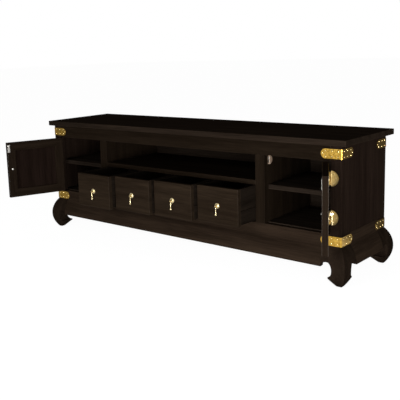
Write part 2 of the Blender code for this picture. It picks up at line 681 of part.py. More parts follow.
def build_doors(wood, brass, cabinet, drop):
    """Two doors on their hinges, each turned open about its own axis."""
    frame = door_frame_mesh()
    panel = door_panel_mesh()
    fixed_leaf = fixed_leaf_mesh()
    door_leaf = door_leaf_mesh()
    pull = pull_mesh(DOOR_THICKNESS)
    for name, side, opened in (("left", -1, DOOR_OPEN_LEFT), ("right", 1, DOOR_OPEN_RIGHT)):
        axis = (side * HINGE_X, HINGE_Y, DOOR_MIDDLE)
        door = add_empty(f"door_{name}_axis", cabinet, axis, side * opened)
        add(f"door_frame_{name}", mirrored(frame, side), wood, door)
        add(f"door_panel_{name}", mirrored(panel, side), wood, door)
        for level, height in (("upper", HINGE_SPACING / 2), ("lower", -HINGE_SPACING / 2)):
            place = Vector((0, 0, height))
            on_stile = Vector(axis) + place
            stile_leaf = mirrored(fixed_leaf, side)
            moving_leaf = mirrored(door_leaf, side)
            add(f"hinge_leaf_fixed_{level}_{name}", stile_leaf, brass, cabinet, on_stile, smooth=True)
            add(f"hinge_leaf_door_{level}_{name}", moving_leaf, brass, door, place, smooth=True)
        grip = (side * (DOOR_FAR + DOOR_PULL_INSET), HINGE_OUT, DOOR_PULL_RISE)
        add_pull("door", name, pull, drop, brass, door, grip)


def main():
    """Builds the cabinet."""
    for old in list(bpy.data.objects):
        bpy.data.objects.remove(old)
    wood = finish("dark_lacquered_wood", (0.020, 0.010, 0.007), 0.35, 0.0)
    inner_wood = finish("dark_stained_inner_wood", (0.014, 0.008, 0.006), 0.55, 0.0)
    brass = finish("polished_brass", (0.80, 0.56, 0.20), 0.25, 1.0)
    cabinet = add_empty("cabinet", None, (CARCASS_X, CARCASS_Y, 0))
    build_top(wood, cabinet)
    build_carcass(wood, inner_wood, cabinet)
    build_uprights(wood, cabinet)
    build_legs(wood, cabinet)
    build_aprons(wood, cabinet)
    build_straps(brass, cabinet)
    drop = drop_mesh()
    build_drawers(wood, brass, cabinet, drop)
    build_doors(wood, brass, cabinet, drop)


main()
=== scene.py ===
"""Looks of a low television cabinet in dark lacquered wood with brass fittings.

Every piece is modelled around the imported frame, in metres, and rides on one of its bodies.
"""

import json
import logging
import math
from dataclasses import dataclass, replace
from enum import Enum
from functools import cache

import bmesh
import bpy
from mathutils import Matrix, Vector

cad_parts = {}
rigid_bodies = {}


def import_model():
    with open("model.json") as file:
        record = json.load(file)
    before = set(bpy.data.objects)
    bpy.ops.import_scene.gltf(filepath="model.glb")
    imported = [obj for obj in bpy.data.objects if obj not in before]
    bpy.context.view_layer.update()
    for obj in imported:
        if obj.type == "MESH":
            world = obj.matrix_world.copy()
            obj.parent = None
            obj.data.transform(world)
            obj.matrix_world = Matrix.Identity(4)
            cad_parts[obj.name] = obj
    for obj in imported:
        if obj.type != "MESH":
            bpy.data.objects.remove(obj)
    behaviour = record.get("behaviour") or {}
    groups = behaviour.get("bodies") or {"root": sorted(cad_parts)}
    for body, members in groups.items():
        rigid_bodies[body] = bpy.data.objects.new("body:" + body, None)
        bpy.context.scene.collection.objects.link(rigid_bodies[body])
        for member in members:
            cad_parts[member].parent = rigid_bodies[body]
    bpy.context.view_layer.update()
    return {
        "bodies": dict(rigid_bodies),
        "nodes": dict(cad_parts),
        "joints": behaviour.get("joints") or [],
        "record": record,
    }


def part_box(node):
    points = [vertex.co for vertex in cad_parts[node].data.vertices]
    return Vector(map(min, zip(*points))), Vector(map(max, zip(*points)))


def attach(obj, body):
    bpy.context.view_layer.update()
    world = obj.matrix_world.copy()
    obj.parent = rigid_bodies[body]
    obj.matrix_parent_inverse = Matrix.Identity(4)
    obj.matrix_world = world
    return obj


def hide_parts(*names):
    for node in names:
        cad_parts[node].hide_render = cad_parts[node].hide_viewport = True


LOG = logging.getLogger("cabinet")

Triple = tuple[float, float, float]
Colour = Triple
Place = Triple
Point = tuple[float, float]
Mesh = bpy.types.Mesh
Material = bpy.types.Material
Socket = bpy.types.NodeSocket
Shape = bmesh.types.BMesh

QUARTER = math.pi / 2
FULL = 2 * math.pi
MERGE = 1e-6  # points nearer than this are one
NEAR = 10 * MERGE  # a point nearer than this to a line or plane is on it
SEAT = 0.0003  # gap left between pieces that touch
CUT_OVER = 0.010  # how far a cutter runs past what it cuts
EASE_STEPS = 2  # faces that make a small round
SHARP = math.radians(50)  # edges that turn more than this get an arris
SMOOTH = math.radians(40)  # edges that turn less than this are shaded round
ARRIS = "arris"  # the attribute that marks rounded edges, which get a glinting clear coat and a lighter colour that is partly wear and partly painted highlight
NOISE_RANGE = (0.3, 0.7)  # where most of a noise's values lie
WHITE = (1.0, 1.0, 1.0, 1.0)
FACING_FRONT = Matrix.Rotation(QUARTER, 4, "X")
FACING_BACK = Matrix.Rotation(-QUARTER, 4, "X")


class Named(Enum):
    """A choice whose name is part of the names of pieces."""

    @property
    def word(self) -> str:
        """The choice's word in those names."""
        return self.name.lower()


class Side(Named):
    """The two ends of the cabinet as seen from the front, with the sign of X."""

    LEFT = -1
    RIGHT = 1


class Depth(Named):
    """Front or back, with the sign of Y."""

    FRONT = -1
    BACK = 1


class Level(Named):
    """Upper or lower fittings."""

    UPPER = 1
    LOWER = -1


class Operation(Enum):
    """How two closed meshes are combined."""

    CUT = "DIFFERENCE"
    SHARE = "INTERSECT"


class Grain(Named):
    """The way the wood's fibres run, as the turn that lays the X axis along them."""

    ACROSS = (0.0, 0.0, 0.0)
    DEEP = (0.0, 0.0, QUARTER)
    UPRIGHT = (0.0, -QUARTER, 0.0)


def new_shape(mesh: Mesh | None = None) -> Shape:
    """A bmesh whose faces can be marked as arrises.

    Args:
        mesh: The mesh that it starts from, or nothing for an empty one.

    Returns:
        The bmesh.
    """
    shape = bmesh.new()
    if mesh:
        shape.from_mesh(mesh)
    if not shape.faces.layers.float.get(ARRIS):
        shape.faces.layers.float.new(ARRIS)
    return shape


def to_mesh(shape: Shape) -> Mesh:
    """Turns a bmesh into shaded mesh data and frees it.

    Args:
        shape: The finished bmesh, closed and without doubles.

    Returns:
        The mesh, shaded round with its sharp edges kept.
    """
    bmesh.ops.recalc_face_normals(shape, faces=shape.faces)
    mesh = bpy.data.meshes.new("shape")
    shape.to_mesh(mesh)
    shape.free()
    mesh.shade_smooth()
    mesh.set_sharp_from_angle(angle=SMOOTH)
    return mesh


def round_edges(shape: Shape, edges: list, width: float, steps: int = EASE_STEPS, worn: bool = True) -> None:
    """Rounds some edges of a bmesh, and marks the new faces as arrises.

    Args:
        shape: The bmesh to change.
        edges: The edges to round.
        width: How far the rounding reaches along each face.
        steps: How many faces make the round.
        worn: Whether the new faces are marked as arrises, which get the lighter colour that is partly wear
            and partly painted highlight, and the clear coat.
    """
    rounded = bmesh.ops.bevel(
        shape,
        geom=edges,
        offset=width,
        offset_type="OFFSET",
        segments=steps,
        profile=0.5,
        affect="EDGES",
        clamp_overlap=True,
        material=-1,
    )
    mark = shape.faces.layers.float[ARRIS]
    for face in rounded["faces"]:
        face[mark] = float(worn)


def sharp_edges(shape: Shape) -> list:
    """The edges of a bmesh that turn sharply.

    Args:
        shape: The bmesh to look at.

    Returns:
        Every edge between two faces that turn by more than SHARP.
    """
    shape.normal_update()
    pairs = [edge for edge in shape.edges if len(edge.link_faces) == 2]
    return [edge for edge in pairs if edge.calc_face_angle() > SHARP]


def front_face(shape: Shape) -> bmesh.types.BMFace:
    """The face of a bmesh that looks to the front."""
    shape.normal_update()
    return min(shape.faces, key=lambda face: face.normal.y)


def inset(shape: Shape, face: bmesh.types.BMFace, width: float, sink: float = 0.0) -> None:
    """Sets a face in from its border, which gets faces of its own.

    Args:
        shape: The bmesh to change.
        face: The face, which stays in the middle.
        width: How wide the border is.
        sink: How far the face goes down.
    """
    bmesh.ops.inset_region(
        shape, faces=[face], thickness=width, depth=-sink, use_boundary=True, use_even_offset=True
    )


def board_shape(low: Place, high: Place) -> Shape:
    """A rectangular bmesh between two corners.

    Args:
        low: The lowest corner.
        high: The highest corner.

    Returns:
        The bmesh.
    """
    low = Vector(low)
    high = Vector(high)
    shape = new_shape()
    bmesh.ops.create_cube(shape, size=1.0)
    bmesh.ops.scale(shape, vec=high - low, verts=shape.verts)
    bmesh.ops.translate(shape, vec=(low + high) / 2, verts=shape.verts)
    return shape


def board(low: Place, high: Place, arris: float, steps: int = EASE_STEPS) -> Mesh:
    """A board with rounded arrises.

    Args:
        low: The lowest corner.
        high: The highest corner.
        arris: How far the rounding reaches along each face.
        steps: How many faces make the round.

    Returns:
        The board's mesh.
    """
    shape = board_shape(low, high)
    round_edges(shape, shape.edges[:], arris, steps)
    return to_mesh(shape)


def prism_shape(outline: list[Point], axis: int, low: float, high: float) -> Shape:
    """A straight bmesh along one axis.

    Args:
        outline: Its corners, in the other two axes in XYZ order.
        axis: The axis that it runs along.
        low: Where it starts on that axis.
        high: Where it ends.

    Returns:
        The bmesh.
    """
    shape = new_shape()
    corners = []
    for point in outline:
        place = list(point)
        place.insert(axis, low)
        corners.append(shape.verts.new(place))
    base = shape.faces.new(corners)
    grown = bmesh.ops.extrude_face_region(shape, geom=[base])
    lifted = [item for item in grown["geom"] if isinstance(item, bmesh.types.BMVert)]
    rise = Vector()
    rise[axis] = high - low
    bmesh.ops.translate(shape, vec=rise, verts=lifted)
    bmesh.ops.recalc_face_normals(shape, faces=shape.faces)
    return shape


def prism(outline: list[Point], axis: int, low: float, high: float, arris: float = 0.0) -> Mesh:
    """A straight solid along one axis, with its sharp edges rounded.

    Args:
        outline: Its corners, in the other two axes in XYZ order.
        axis: The axis that it runs along.
        low: Where it starts on that axis.
        high: Where it ends.
        arris: How far the rounding reaches, or nothing for plain edges.

    Returns:
        The solid's mesh.
    """
    shape = prism_shape(outline, axis, low, high)
    if arris:
        round_edges(shape, sharp_edges(shape), arris)
    return to_mesh(shape)


def turned(profile: list[Point], axis: int, steps: int, closed: bool = False) -> Mesh:
    """A turned solid.

    Args:
        profile: Points of (distance along the axis, radius).
        axis: The axis that it turns about.
        steps: How many faces go round it.
        closed: Whether the profile is a ring; otherwise both its ends lie on the axis.

    Returns:
        The solid's mesh.
    """
    shape = new_shape()
    corners = []
    for along, radius in profile:
        place = Vector()
        place[axis] = along
        place[(axis + 1) % 3] = radius
        corners.append(shape.verts.new(place))
    following = corners[1:] + corners[:1] if closed else corners[1:]
    edges = [shape.edges.new(pair) for pair in zip(corners, following)]
    around = Vector()
    around[axis] = 1
    bmesh.ops.spin(shape, geom=corners + edges, axis=around, angle=FULL, steps=steps, use_merge=True)
    bmesh.ops.remove_doubles(shape, verts=shape.verts, dist=MERGE)
    return to_mesh(shape)


def placed(mesh: Mesh, matrix: Matrix) -> Mesh:
    """A copy of a mesh, moved, turned or mirrored.

    Args:
        mesh: The mesh to copy.
        matrix: Where it goes.

    Returns:
        The copy, with its faces pointing out.
    """
    copy = mesh.copy()
    copy.transform(matrix)
    if matrix.determinant() < 0:
        copy.flip_normals()
    return copy


def united(meshes: list[Mesh]) -> Mesh:
    """Several closed shells gathered into one mesh.

    Args:
        meshes: The shells, each in its place.

    Returns:
        One mesh that holds them all.
    """
    shape = new_shape()
    for mesh in meshes:
        shape.from_mesh(mesh)
    whole = bpy.data.meshes.new("shape")
    shape.to_mesh(whole)
    shape.free()
    whole.set_sharp_from_angle(angle=SMOOTH)
    return whole


def combined(first: Mesh, second: Mesh, operation: Operation) -> Mesh:
    """Cuts or intersects two closed meshes.

    Args:
        first: The mesh that is kept or cut.
        second: The mesh that shares or cuts it.
        operation: Which of the two it is.

    Returns:
        The new mesh.
    """
    body = bpy.data.objects.new("body", first)
    tool = bpy.data.objects.new("tool", second)
    for piece in (body, tool):
        bpy.context.scene.collection.objects.link(piece)
    change = body.modifiers.new("combine", "BOOLEAN")
    change.operation = operation.value
    change.object = tool
    depsgraph = bpy.context.evaluated_depsgraph_get()
    result = bpy.data.meshes.new_from_object(body.evaluated_get(depsgraph))
    for piece in (body, tool):
        bpy.data.objects.remove(piece)
    return result


def arc(centre: Point, radii: Point, start: float, end: float, steps: int) -> list[Point]:
    """Points along part of an ellipse.

    Args:
        centre: The ellipse's middle.
        radii: Half its width and half its height.
        start: The first point's angle.
        end: The last point's angle.
        steps: How many stretches lie between them.

    Returns:
        The points, both ends included.
    """
    points = []
    for step in range(steps + 1):
        turn = start + (end - start) * step / steps
        points.append((centre[0] + radii[0] * math.cos(turn), centre[1] + radii[1] * math.sin(turn)))
    return points


def corner_place(low: Vector, high: Vector, height: float, side: Side, depth: Depth) -> Matrix:
    """Where a piece made for the front left corner goes at one corner of a box.

    Args:
        low: The box's lowest corner.
        high: The box's highest corner.
        height: How high the piece stands.
        side: The corner's side.
        depth: Whether the corner is in front.

    Returns:
        The place, which mirrors the piece as the corner needs.
    """
    x = low.x if side is Side.LEFT else high.x
    y = low.y if depth is Depth.FRONT else high.y
    flip = Matrix.Diagonal((-side.value, -depth.value, 1, 1))
    return Matrix.Translation((x, y, height)) @ flip


class NodeTree:
    """The nodes of a material or of the world."""

    def __init__(self, owner: Material | bpy.types.World) -> None:
        """Starts with the nodes that a new owner has."""
        owner.use_nodes = True
        self.tree = owner.node_tree

    def give(self, socket: Socket, value: object) -> None:
        """Gives a socket what it gets.

        Args:
            socket: The socket.
            value: Another node's output, which is linked to it, or a plain value.
        """
        if isinstance(value, Socket):
            self.tree.links.new(value, socket)
        else:
            socket.default_value = value

    def made(self, kind: str, output: str, inputs: dict, **values: object) -> Socket:
        """Adds a node.

        Args:
            kind: The node's type.
            output: The name of the output that is wanted.
            inputs: What its sockets get, by their names or numbers.
            values: Its properties by name.

        Returns:
            That output.
        """
        node = self.tree.nodes.new(kind)
        for name, value in values.items():
            setattr(node, name, value)
        for name, value in inputs.items():
            self.give(node.inputs[name], value)
        return node.outputs[output]


class Graph(NodeTree):
    """The nodes of one material, around a Principled BSDF."""

    def __init__(self, name: str) -> None:
        """Starts a material.

        Args:
            name: The material's name.
        """
        self.material = bpy.data.materials.new(name)
        super().__init__(self.material)
        self.surface = self.tree.nodes["Principled BSDF"]

    def dress(self, inputs: dict) -> None:
        """Gives the surface's sockets what they get, by their names."""
        for name, value in inputs.items():
            self.give(self.surface.inputs[name], value)

    def stretched_noise(self, turn: Triple, size: Triple, detail: float) -> Socket:
        """Noise drawn out along one way of the object.

        Args:
            turn: The turn that lays the X axis along that way.
            size: How long, wide and high its patches are.
            detail: How fine it gets.

        Returns:
            The noise's value.
        """
        place = self.made("ShaderNodeTexCoord", "Object", {})
        laid = {"Vector": place, "Rotation": turn, "Scale": size}
        laid_place = self.made("ShaderNodeMapping", "Vector", laid, vector_type="TEXTURE")
        return self.made("ShaderNodeTexNoise", "Fac", {"Vector": laid_place, "Scale": 1.0, "Detail": detail})

    def even_noise(self, size: float, detail: float) -> Socket:
        """Noise with patches of one size every way."""
        return self.stretched_noise((0.0, 0.0, 0.0), (size,) * 3, detail)

    def blended(self, value: Socket, stops: tuple[float, ...], colours: tuple[Colour, ...]) -> Socket:
        """A colour for each value.

        Args:
            value: The value to colour.
            stops: Places on the scale.
            colours: The colour at each of them.

        Returns:
            The colour.
        """
        colour = self.made("ShaderNodeValToRGB", "Color", {"Fac": value})
        elements = colour.node.color_ramp.elements
        while len(elements) < len(stops):
            elements.new(1.0)
        for element, place, shade in zip(elements, stops, colours):
            element.position = place
            element.color = (*shade, 1.0)
        return colour

    def spread(self, value: Socket, low: float, high: float) -> Socket:
        """A noise value spread between two numbers.

        Args:
            value: The noise's value.
            low: The number for its low end.
            high: The number for its high end.

        Returns:
            The spread value.
        """
        start, end = NOISE_RANGE
        ends = {"From Min": start, "From Max": end, "To Min": low, "To Max": high}
        return self.made("ShaderNodeMapRange", "Result", {"Value": value, **ends})

    def weighed(self, first: Socket, second: Socket, share: float) -> Socket:
        """Two values mixed, with the second one's share."""
        inputs = {"Factor": share, "A": first, "B": second}
        return self.made("ShaderNodeMix", "Result", inputs, data_type="FLOAT")

    def on_arrises(self, value: Socket) -> Socket:
        """A value that holds on the rounded edges, and nothing elsewhere."""
        mark = self.made("ShaderNodeAttribute", "Fac", {}, attribute_name=ARRIS)
        return self.made("ShaderNodeMath", "Value", {0: mark, 1: value}, operation="MULTIPLY")

    def covered(self, base: Socket, cover: Colour, share: Socket) -> Socket:
        """A colour with another laid over it by a share that varies."""
        inputs = {"Fac": share, "Color1": base, "Color2": (*cover, 1.0)}
        return self.made("ShaderNodeMixRGB", "Color", inputs)

    def bumped(self, value: Socket, strength: float, height: float) -> Socket:
        """A surface raised by a value, as strongly and as high as given."""
        inputs = {"Height": value, "Strength": strength, "Distance": height}
        return self.made("ShaderNodeBump", "Normal", inputs)


@dataclass(frozen=True)
class WoodFinish:
    """Stained wood under lacquer, with its grain along one way."""

    name: str
    dark: Colour
    middle: Colour
    light: Colour
    slot: str = "lacquered_wood"
    grain: Grain = Grain.ACROSS
    turn: float = 0.0  # about Z, for pieces that stand at an angle
    tone_stops: Triple = (0.38, 0.50, 0.62)
    roughness: float = 0.42
    smoother: float = 0.05  # below that roughness
    rougher: float = 0.08  # above it
    gloss: float = 0.0
    # the lighter colour on the arrises: partly wear, partly painted highlight
    worn: Colour = (0.060, 0.042, 0.028)
    wear: float = 0.0  # share of the lighter colour on the arrises: partly wear, partly painted highlight
    wear_least: float = 0.4  # of that share
    glint: float = 0.0  # clear lacquer on the arrises
    glint_least: float = 0.7  # of that lacquer
    glint_roughness: float = 0.22
    figure_size: Triple = (0.60, 0.030, 0.030)
    figure_detail: float = 3.0
    fibre_size: Triple = (0.090, 0.0016, 0.0016)
    fibre_detail: float = 6.0
    fibre_share: float = 0.55
    fibre_height: float = 0.0002
    fibre_strength: float = 0.25

    def laid(self, grain: Grain, turn: float = 0.0) -> "WoodFinish":
        """The same finish with its grain laid another way."""
        return replace(self, grain=grain, turn=turn)

    @cache
    def material(self) -> Material:
        """The finish, made once for each way of the grain.

        Returns:
            The material.
        """
        graph = Graph(f"{self.name}_{self.grain.word}_{round(math.degrees(self.turn))}")
        tilt, lift, swing = self.grain.value
        way = (tilt, lift, swing + self.turn)
        figure = graph.stretched_noise(way, self.figure_size, self.figure_detail)
        fibre = graph.stretched_noise(way, self.fibre_size, self.fibre_detail)
        tone = graph.weighed(figure, fibre, self.fibre_share)
        # rubbed is the share of the lighter arris colour: partly wear, partly painted highlight
        rubbed = graph.on_arrises(graph.spread(figure, self.wear * self.wear_least, self.wear))
        stain = graph.blended(tone, self.tone_stops, (self.dark, self.middle, self.light))
        rough = graph.spread(fibre, self.roughness - self.smoother, self.roughness + self.rougher)
        graph.dress({"Base Color": graph.covered(stain, self.worn, rubbed), "Roughness": rough})
        if self.glint:
            shine = graph.on_arrises(graph.spread(fibre, self.glint * self.glint_least, self.glint))
            graph.dress({"Coat Weight": shine, "Coat Roughness": self.glint_roughness})
        relief = graph.bumped(fibre, self.fibre_strength, self.fibre_height)
        graph.dress({"Normal": relief, "Specular IOR Level": self.gloss})
        return graph.material


@dataclass(frozen=True)
class MetalFinish:
    """Metal with a faintly uneven surface."""

    name: str
    dark: Colour
    light: Colour
    roughness: float
    patch: float
    relief: float
    slot: str | None = None
    tone_stops: Point = (0.35, 0.65)
    patch_detail: float = 4.0
    patch_strength: float = 0.5
    smudge_patches: float = 6.0  # how many patches wide a smudge is
    smudge_detail: float = 2.0
    rubbed: float = 0.8  # the roughness's share where it is smoothest
    dulled: float = 1.25  # and where it is dullest

    @cache
    def material(self) -> Material:
        """The finish, made once.

        Returns:
            The material.
        """
        graph = Graph(self.name)
        patches = graph.even_noise(self.patch, self.patch_detail)
        smudges = graph.even_noise(self.patch * self.smudge_patches, self.smudge_detail)
        tone = graph.blended(patches, self.tone_stops, (self.dark, self.light))
        rough = graph.spread(smudges, self.roughness * self.rubbed, self.roughness * self.dulled)
        relief = graph.bumped(patches, self.patch_strength, self.relief)
        graph.dress({"Base Color": tone, "Roughness": rough, "Normal": relief, "Metallic": 1.0})
        return graph.material


@dataclass(frozen=True)
class PlasticFinish:
    """Moulded plastic with a fine grain."""

    name: str
    dark: Colour
    light: Colour
    roughness: float
    slot: str | None = None
    roughness_spread: float = 0.05
    tone_stops: Point = (0.3, 0.7)
    grain_size: float = 0.0008
    grain_detail: float = 2.0
    grain_strength: float = 0.2
    grain_height: float = 0.0001

    @cache
    def material(self) -> Material:
        """The finish, made once.

        Returns:
            The material.
        """
        graph = Graph(self.name)
        grains = graph.even_noise(self.grain_size, self.grain_detail)
        tone = graph.blended(grains, self.tone_stops, (self.dark, self.light))
        spread = self.roughness_spread
        rough = graph.spread(grains, self.roughness - spread, self.roughness + spread)
        relief = graph.bumped(grains, self.grain_strength, self.grain_height)
        graph.dress({"Base Color": tone, "Roughness": rough, "Normal": relief})
        return graph.material


Finish = WoodFinish | MetalFinish | PlasticFinish

# The wood finishes are lit and shaded copies of one stained wood: their tones hold painted light and shade
# besides the wood's own tone.
FRONT_WOOD = WoodFinish(
    name="front_wood",
    dark=(0.0105, 0.0068, 0.0042),
    middle=(0.0165, 0.0110, 0.0070),
    light=(0.0240, 0.0160, 0.0100),
    wear=0.15,
    glint=0.10,
)
# Painted light: the aprons are painted lighter than the drawer fronts.
APRON_WOOD = WoodFinish(
    name="apron_wood",
    dark=(0.0110, 0.0070, 0.0045),
    middle=(0.0175, 0.0113, 0.0074),
    light=(0.0255, 0.0165, 0.0107),
    wear=0.06,
)
# Painted shade: the legs are painted darker than the aprons and the drawer fronts.
LEG_WOOD = WoodFinish(
    name="leg_wood",
    dark=(0.0075, 0.0049, 0.0033),
    middle=(0.0118, 0.0078, 0.0053),
    light=(0.0172, 0.0114, 0.0077),
    wear=0.06,
)
# The doors' arrises take a large share of the lighter arris colour: partly wear, partly a painted highlight
# along the doors' edges.
DOOR_WOOD = WoodFinish(
    name="door_wood",
    dark=(0.0069, 0.0044, 0.0029),
    middle=(0.0110, 0.0072, 0.0047),
    light=(0.0163, 0.0107, 0.0070),
    wear=0.4,
    glint=0.6,
)
PANEL_WOOD = WoodFinish(
    name="panel_wood",
    dark=(0.0060, 0.0035, 0.0026),
    middle=(0.0093, 0.0055, 0.0041),
    light=(0.0137, 0.0082, 0.0062),
    wear=0.1,
)
# Painted shade: the rails, the middle shelf and the uprights are painted darker than the drawer fronts.
CASE_WOOD = WoodFinish(
    name="case_wood",
    dark=(0.0066, 0.0042, 0.0026),
    middle=(0.0098, 0.0065, 0.0041),
    light=(0.0141, 0.0093, 0.0059),
    wear=0.15,
    glint=0.10,
)
# Painted light: the end panels and the corner stiles are painted lighter than the case boards.
END_WOOD = WoodFinish(
    name="end_wood",
    dark=(0.0088, 0.0054, 0.0039),
    middle=(0.0132, 0.0083, 0.0060),
    light=(0.0189, 0.0119, 0.0086),
    wear=0.05,
)
TOP_WOOD = WoodFinish(
    name="top_wood",
    dark=(0.0100, 0.0068, 0.0048),
    middle=(0.0148, 0.0101, 0.0071),
    light=(0.0210, 0.0144, 0.0101),
    wear=0.10,
)
INNER_WOOD = WoodFinish(
    name="inner_wood",
    slot="inner_wood",
    dark=(0.0104, 0.0073, 0.0053),
    middle=(0.0164, 0.0117, 0.0085),
    light=(0.0235, 0.0167, 0.0121),
    roughness=0.55,
    wear=0.10,
)
BOX_WOOD = WoodFinish(
    name="box_wood",
    slot="inner_wood",
    dark=(0.0063, 0.0045, 0.0032),
    middle=(0.0100, 0.0072, 0.0052),
    light=(0.0143, 0.0103, 0.0074),
    roughness=0.55,
    wear=0.10,
)
CHASED_BRASS = MetalFinish(
    name="chased_brass",
    slot="brass",
    dark=(0.34, 0.195, 0.028),
    light=(0.70, 0.435, 0.080),
    roughness=0.19,
    patch=0.0050,
    relief=0.00022,
)
PALE_BRASS = MetalFinish(
    name="pale_brass",
    slot="brass",
    dark=(0.60, 0.48, 0.255),
    light=(0.75, 0.63, 0.375),
    roughness=0.30,
    patch=0.005,
    relief=0.0001,
)
# Painted shade: the hinges' knuckles and pins are painted very dark, so that they sit dark between door and
# stile.
SHADE_PAINTED_BRASS = MetalFinish(
    name="aged_brass",
    slot="brass",
    dark=(0.13, 0.080, 0.020),
    light=(0.26, 0.170, 0.050),
    roughness=0.38,
    patch=0.004,
    relief=0.0001,
)
POLISHED_BRASS = MetalFinish(
    name="polished_brass",
    slot="brass",
    dark=(0.86, 0.64, 0.27),
    light=(0.95, 0.78, 0.40),
    roughness=0.18,
    patch=0.006,
    relief=0.00005,
)
ZINC = MetalFinish(
    name="zinc_plated_steel",
    dark=(0.24, 0.23, 0.21),
    light=(0.42, 0.40, 0.37),
    roughness=0.34,
    patch=0.004,
    relief=0.00005,
)
BRIGHT_STEEL = MetalFinish(
    name="bright_steel",
    dark=(0.36, 0.34, 0.31),
    light=(0.54, 0.52, 0.48),
    roughness=0.30,
    patch=0.003,
    relief=0.00005,
)
PALE_PLASTIC = PlasticFinish(
    name="pale_plastic",
    dark=(0.17, 0.115, 0.078),
    light=(0.26, 0.185, 0.130),
    roughness=0.45,
)


@dataclass
class Cabinet:
    """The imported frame, and the pieces that are put on it."""

    nodes: dict
    joints: dict
    bodies: dict

    @classmethod
    def from_frame(cls, frame: dict) -> "Cabinet":
        """Reads what the pieces need from the loaded frame.

        Args:
            frame: What the frame's loader gives.

        Returns:
            The cabinet, still bare.
        """
        groups = frame["record"]["behaviour"]["bodies"]
        bodies = {node: body for body, members in groups.items() for node in members}
        joints = {joint["name"]: joint for joint in frame["joints"]}
        return cls(nodes=frame["nodes"], joints=joints, bodies=bodies)

    def local_box(self, node: str, place: Matrix) -> tuple[Vector, Vector]:
        """A node's corners in a frame of its own.

        Args:
            node: The node's name.
            place: Where that frame stands.

        Returns:
            The lowest and the highest corner.
        """
        back = place.inverted()
        points = [back @ vertex.co for vertex in self.nodes[node].data.vertices]
        low = Vector([min(point[axis] for point in points) for axis in range(3)])
        high = Vector([max(point[axis] for point in points) for axis in range(3)])
        return low, high

    def add(self, name: str, mesh: Mesh, finish: Finish, node: str, stands_for: bool = False) -> None:
        """Puts a piece on the frame.

        Args:
            name: The piece's name.
            mesh: Its mesh, in its place.
            finish: Its finish.
            node: The node whose body it rides on.
            stands_for: Whether it is shown in place of that node.
        """
        mesh.name = name
        mesh.materials.clear()
        mesh.materials.append(finish.material())
        piece = bpy.data.objects.new(name, mesh)
        bpy.context.scene.collection.objects.link(piece)
        flat = piece.modifiers.new("even_faces", "WEIGHTED_NORMAL")
        flat.keep_sharp = True
        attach(piece, self.bodies[node])
        if stands_for:
            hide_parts(node)
        LOG.info("%s: %d faces, on %s", name, len(mesh.polygons), self.bodies[node])


@dataclass(frozen=True)
class Dome:
    """A dome-headed pin or screw, standing on the plane z = 0."""

    radius: float
    rise: float
    rings: int = 4
    steps: int = 12

    def mesh(self) -> Mesh:
        """The head, closed underneath."""
        crown = arc((0.0, 0.0), (self.rise, self.radius), QUARTER, 0.0, self.rings)
        return turned([(0.0, 0.0)] + crown[:-1] + [(self.rise, 0.0)], 2, self.steps)

    def heads(self, spots: list[Place], facing: Matrix) -> list[Mesh]:
        """Heads like this one, side by side.

        Args:
            spots: Where they sit.
            facing: The turn that points them outwards.

        Returns:
            Their meshes.
        """
        head = self.mesh()
        return [placed(head, Matrix.Translation(spot) @ facing) for spot in spots]


@dataclass(frozen=True)
class Rim:
    """The raised rim around the field of a brass plate."""

    width: float = 0.0022
    slope: float = 0.0006
    sink: float = 0.0004  # of the field, below the rim
    arris: float = 0.00035

    def plate(self, outline: list[Point], face: float, back: float) -> Mesh:
        """A flat plate with this rim on its front.

        Args:
            outline: The plate's corners in X and Z.
            face: Where its front is.
            back: Where its back is.

        Returns:
            The plate's mesh.
        """
        shape = prism_shape(outline, 1, face, back)
        front = front_face(shape)
        inset(shape, front, self.width)
        inset(shape, front, self.slope, self.sink)
        round_edges(shape, sharp_edges(shape), self.arris)
        return to_mesh(shape)


